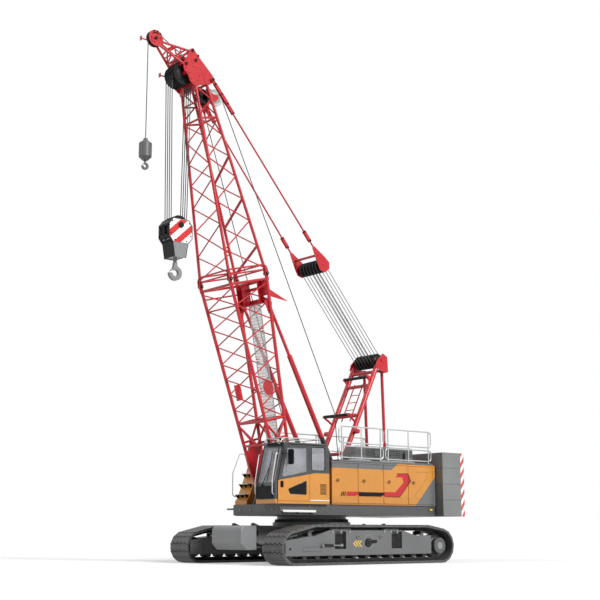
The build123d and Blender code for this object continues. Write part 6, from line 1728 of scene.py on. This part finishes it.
def addCabOutside():
    look = cabLook
    steel, black, glassy, white = newMesh(), newMesh(), newMesh(), newMesh()
    face = look["leftY"]
    # Roof guard hoop and the long grab rails on the front pillars
    for y0, y1 in ((0.86, 1.60),):
        hoop = roundedCorner([(1.0, y0, 3.44), (1.0, y0, 3.58), (2.38, y0, 3.58), (2.52, y0, 3.40)], 0.07)
        addTube(steel, hoop, 0.016, 8)
        hoop = roundedCorner([(1.0, y1, 3.44), (1.0, y1, 3.58), (2.38, y1, 3.58), (2.52, y1, 3.40)], 0.07)
        addTube(steel, hoop, 0.016, 8)
        for x in (1.0, 1.7, 2.38):
            addTube(steel, [(x, y0, 3.58), (x, y1, 3.58)], 0.014, 8)
    for y in (0.83, 1.63):
        rail = roundedCorner([(2.60, y, 3.12), (2.66, y, 3.13), (2.80, y, 2.35), (2.80, y, 1.98),
            (2.73, y, 1.96)], 0.05)
        addTube(steel, rail, 0.015, 8)
    # Black frame lines of the windscreen and round the door's front edge
    for y in (0.86, 1.58):
        addTube(black, [(2.772, y, 1.86), (2.772, y, 2.19), (2.50, y, 3.36)], 0.013, 8)
    addTube(black, [(2.772, 0.86, 2.19), (2.772, 1.58, 2.19)], 0.012, 8)
    addTube(black, [(2.655, face + 0.002, 1.73), (2.655, face + 0.002, 2.35), (2.42, face + 0.002, 3.37)], 0.013, 8)
    # Wiper arm and blade on the windscreen
    lean = Vector((-0.29, 0, 1.17)).normalized()
    foot = Vector((2.765, 1.10, 2.22))
    addTube(black, [foot, foot + lean * 0.62 + across * 0.22], 0.010, 6)
    blade = foot + lean * 0.55 + across * 0.20
    addTube(black, [blade - lean * 0.42, blade + lean * 0.42], 0.011, 6)
    addDisc(black, foot - Vector((0.03, 0, 0)), foot + Vector((0.012, 0, 0)), 0.03, 14)
    # Work lamps under the roof's front edge
    for y in (0.95, 1.52):
        addDisc(black, (2.40, y, 3.50), (2.50, y, 3.48), 0.062, 18, 0.075)
        addDisc(glassy, (2.50, y, 3.48), (2.508, y, 3.479), 0.068, 18)
        addBox(black, (2.40, y - 0.012, 3.43), (2.43, y + 0.012, 3.52))
    # Dark panel under the windscreen
    addBox(black, (2.765, 0.85, 1.845), (2.7735, 1.59, 2.185))
    # Vent, door pull surround and the white strip low on the rear panel
    x0, x1, z0, z1 = 0.838, 1.071, 1.985, 2.278
    for index in range(7):
        z = z0 + (z1 - z0) * (index + 0.5) / 7
        addBox(black, (x0 + 0.02, face, z - 0.008), (x1 - 0.02, face + 0.004, z + 0.008))
    for z in (z0, z1):
        addBox(black, (x0, face, z - 0.004), (x1, face + 0.003, z + 0.004))
    for x in (x0, x1):
        addBox(black, (x - 0.004, face, z0), (x + 0.004, face + 0.003, z1))
    addBox(white, (0.736, face, 1.795), (1.45, face + 0.012, 1.825))
    # Seals round the fixed windows
    for low, high in (((0.885, 2.665), (1.395, 3.345)),):
        addTube(black, roundedLoop(low, high, face - 0.002, 0.06, 5), 0.010, 6, closed=True)
    # Seam and gutter over the door
    addTube(black, [(0.85, face + 0.002, 3.40), (2.30, face + 0.002, 3.40)], 0.012, 6)
    finishPiece(steel, "cabGrabRails", "galvanised", "upper")
    finishPiece(black, "cabFittings", "blackTrim", "upper", 0.002)
    finishPiece(glassy, "cabWorkLamps", "lampLens", "upper")
    finishPiece(white, "cabSillStrip", "whitePaint", "upper", 0.002)
    # On the door: handle recess, grab bar and seals
    handle = newMesh()
    plate = roundedLoop((2.44, 2.16), (2.555, 2.345), 0, 0.03, 4)
    addSlab(handle, [(point.x, point.z) for point in plate], "y", face - 0.001, face + 0.006)
    addTube(handle, roundedCorner([(2.497, face + 0.004, 2.18), (2.497, face + 0.035, 2.20),
        (2.497, face + 0.035, 2.31), (2.497, face + 0.004, 2.33)], 0.012), 0.009, 8)
    # Mirror on an arm, and the dark pane low in the door
    arm = roundedCorner([(2.52, face, 3.12), (2.40, face + 0.12, 3.12), (2.29, face + 0.13, 3.10)], 0.04)
    addTube(handle, arm, 0.011, 8)
    mirror = roundedLoop((face + 0.03, 2.81), (face + 0.27, 3.24), 0, 0.05, 4)
    addSlab(handle, [(point.x, point.z) for point in mirror], "x", 2.27, 2.30)
    addSlab(handle, [(1.60, 1.975), (2.185, 1.99), (2.255, 2.12), (1.60, 2.355)], "y", face - 0.012, face + 0.0015)
    finishPiece(handle, "cabDoorHandle", "blackTrim", "cab_door")


def addCabInside():
    # Seat with crowned cushions, levers, pedals and a small blank screen
    seatX, seatY = 1.5, (0.775 + 1.69) / 2
    base = newMesh()
    addSlab(base, [(seatX - 0.20, 1.76), (seatX + 0.20, 1.76), (seatX + 0.14, 2.07), (seatX - 0.14, 2.07)], "y",
        seatY - 0.15, seatY + 0.15)
    for z in (1.82, 1.88, 1.94, 2.00):
        addBox(base, (seatX - 0.21, seatY - 0.17, z), (seatX + 0.21, seatY + 0.17, z + 0.025))
    baseObj = finishPiece(base, "seatBase", "blackTrim", "upper", 0.004)
    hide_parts("cab_seat")

    def cushion(name, centre, size, lean, crown):
        mesh = newMesh()
        bmesh.ops.create_cube(mesh, size=1.0)
        bmesh.ops.subdivide_edges(mesh, edges=mesh.edges[:], cuts=7, use_grid_fill=True)
        for vert in mesh.verts:
            x, y, z = vert.co * 2
            rim = (1 - x ** 4) * (1 - y ** 4)
            seam = 1.0 - 0.10 * max(0.0, cos(3 * pi * y)) * (1 if abs(z) > 0.9 else 0)
            vert.co = Vector((x * size[0] / 2 * (1 - 0.05 * z * z), y * size[1] / 2 * (1 - 0.05 * z * z),
                z * size[2] / 2 * (0.72 + crown * rim) * seam))
            vert.co = Quaternion((0, 1, 0), radians(lean)) @ vert.co + Vector(centre)
        obj = finishPiece(mesh, name, "seatCloth", "upper")
        smooth = obj.modifiers.new("soften", "SUBSURF")
        smooth.levels = smooth.render_levels = 1

    cushion("seatCushion", (seatX + 0.01, seatY, 2.15), (0.52, 0.50, 0.14), 0.0, 0.28)
    cushion("seatBack", (seatX - 0.245, seatY, 2.50), (0.62, 0.46, 0.12), 98.0, 0.28)
    cushion("seatHeadrest", (seatX - 0.30, seatY, 2.89), (0.16, 0.30, 0.09), 98.0, 0.28)
    levers = newMesh()
    for sign in (1, -1):
        foot = Vector((seatX + 0.30, seatY + sign * 0.33, 2.33))
        addDisc(levers, foot, foot + Vector((0, 0, 0.05)), 0.05, 14, 0.02)
        addTube(levers, [foot + Vector((0, 0, 0.04)), foot + Vector((0.03, 0, 0.17))], 0.010, 8)
        addDisc(levers, foot + Vector((0.03, 0, 0.15)), foot + Vector((0.04, 0, 0.24)), 0.022, 12, 0.018)
    for y in (seatY - 0.12, seatY + 0.12):
        addSlab(levers, [(2.32, 1.77), (2.52, 1.90), (2.50, 1.92), (2.30, 1.79)], "y", y - 0.06, y + 0.06)
    screen = roundedLoop((seatY - 0.40, 2.42), (seatY - 0.18, 2.60), 0, 0.02, 3)
    addSlab(levers, [(point.x, point.z) for point in screen], "x", 2.34, 2.37)
    finishPiece(levers, "cabControls", "blackTrim", "upper", 0.003)


# Right house with the slanted fender ahead of it, three open treads and a thin grab rail
rightLook = dict(rearX=-3.78, frontX=1.18, outerY=-1.60, innerY=-0.76, lowZ=1.71, topZ=2.99,
    fenderInY=-1.0, fender=((1.18, 1.71), (1.735, 1.71), (1.735, 1.86), (1.655, 1.94), (1.245, 2.93),
    (1.21, 2.97), (1.18, 2.985)),
    treadZ=(2.05, 2.37, 2.69), treadReach=0.17, treadY=(-1.56, -1.06), slope=-0.414)


def addRightHouse():
    look, house, seams = rightLook, newMesh(), newMesh()
    radius = 0.04
    outline = [(look["innerY"], look["lowZ"]), (look["innerY"], look["topZ"])]
    for step in range(5):
        angle = radians(90 + 22.5 * step)
        outline.append((look["outerY"] + radius + radius * cos(angle), look["topZ"] - radius + radius * sin(angle)))
    outline.append((look["outerY"], look["lowZ"]))
    addSlab(house, outline, "x", look["rearX"], look["frontX"])
    addSlab(house, look["fender"], "y", look["outerY"], look["fenderInY"])
    obj = finishPiece(house, "rightHouseShell", "housePaint", "upper", 0.006)
    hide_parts("right_house")
    for x in doorSeams[1:-1]:
        addBox(seams, (x - 0.004, look["outerY"] - 0.001, look["lowZ"] + 0.02),
            (x + 0.004, look["outerY"] + 0.01, look["topZ"] - 0.06))
    plates = newMesh()
    y0, y1 = look["treadY"]
    for z in look["treadZ"]:
        root = 1.655 + (z - 1.94) * look["slope"] + 0.002
        tip = root + look["treadReach"]
        addBox(plates, (root, y0, z - 0.012), (tip, y1, z))
        for index in range(4):
            x = root + 0.03 + index * 0.036
            addBox(plates, (x, y0 + 0.02, z), (x + 0.010, y1 - 0.02, z + 0.008))
        for y in (y0 + 0.012, (y0 + y1) / 2, y1 - 0.012):
            addSlab(seams, [(root, z - 0.012), (tip - 0.01, z - 0.012), (root + 0.05, z - 0.12)], "y",
                y - 0.008, y + 0.008)
        addBox(seams, (root, y0, z - 0.12), (root + 0.006, y1, z - 0.012))
    finishPiece(plates, "stepTreads", "galvanised", "upper")
    finishPiece(seams, "stepBracketsAndSeams", "blackTrim", "upper")
    rail = newMesh()
    addTube(rail, roundedCorner([(1.70, -1.585, 1.98), (1.84, -1.585, 2.02), (1.84, -1.585, 2.72),
        (1.58, -1.585, 3.30),
        (1.42, -1.585, 3.32), (1.15, -1.56, 2.985)], 0.06), 0.015, 8)
    finishPiece(rail, "stepGrabRail", "galvanised", "upper")


# Walkway edges: toothed grip strips
def addWalkwayTeeth():
    mesh = newMesh()
    low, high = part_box("walkways")
    for sign in (1, -1):
        for x0, x1 in ((-1.02, -0.11), (-2.90, -1.45)):
            count = int((x1 - x0) / 0.055)
            for index in range(count):
                x = x0 + index * 0.055
                y0, y1 = sorted((sign * 1.575, sign * 1.583))
                addBox(mesh, (x, y0, high.z - 0.01), (x + 0.028, y1, high.z + 0.03))
            y0, y1 = sorted((sign * 1.57, sign * 1.588))
            addBox(mesh, (x0, y0, high.z - 0.045), (x1, y1, high.z + 0.002))
    finishPiece(mesh, "walkwayGripEdges", "galvanised", "upper")


dressNodes()
addCamera()
addStudio()
print("nodes dressed, studio set")
for sideName, y in (("left", track["gauge"] / 2), ("right", -track["gauge"] / 2)):
    addTrackDetails(sideName, y)
    addFrameFittings(sideName, y)
addRingGear()
print("undercarriage detailed")
addHookFalls()
addAuxRope()
addLuffingRopes()
addHoistRopes()
addDrumRopes()
print("ropes strung")
addHouseMarks()
addLatches()
addHoodDetails()
addWeightDetails()
addDeckDetails()
addRightHouse()
addWalkwayTeeth()
print("upper works detailed")
addGantryDetails()
addBoomBase()
addRearPanel()
addBoomTip()
addWalkway()
addBoomDetails()
addJibDetails()
addPendantLinks()
addHookDetails()
addCabOutside()
addCabInside()
print("boom, hooks and cab detailed")
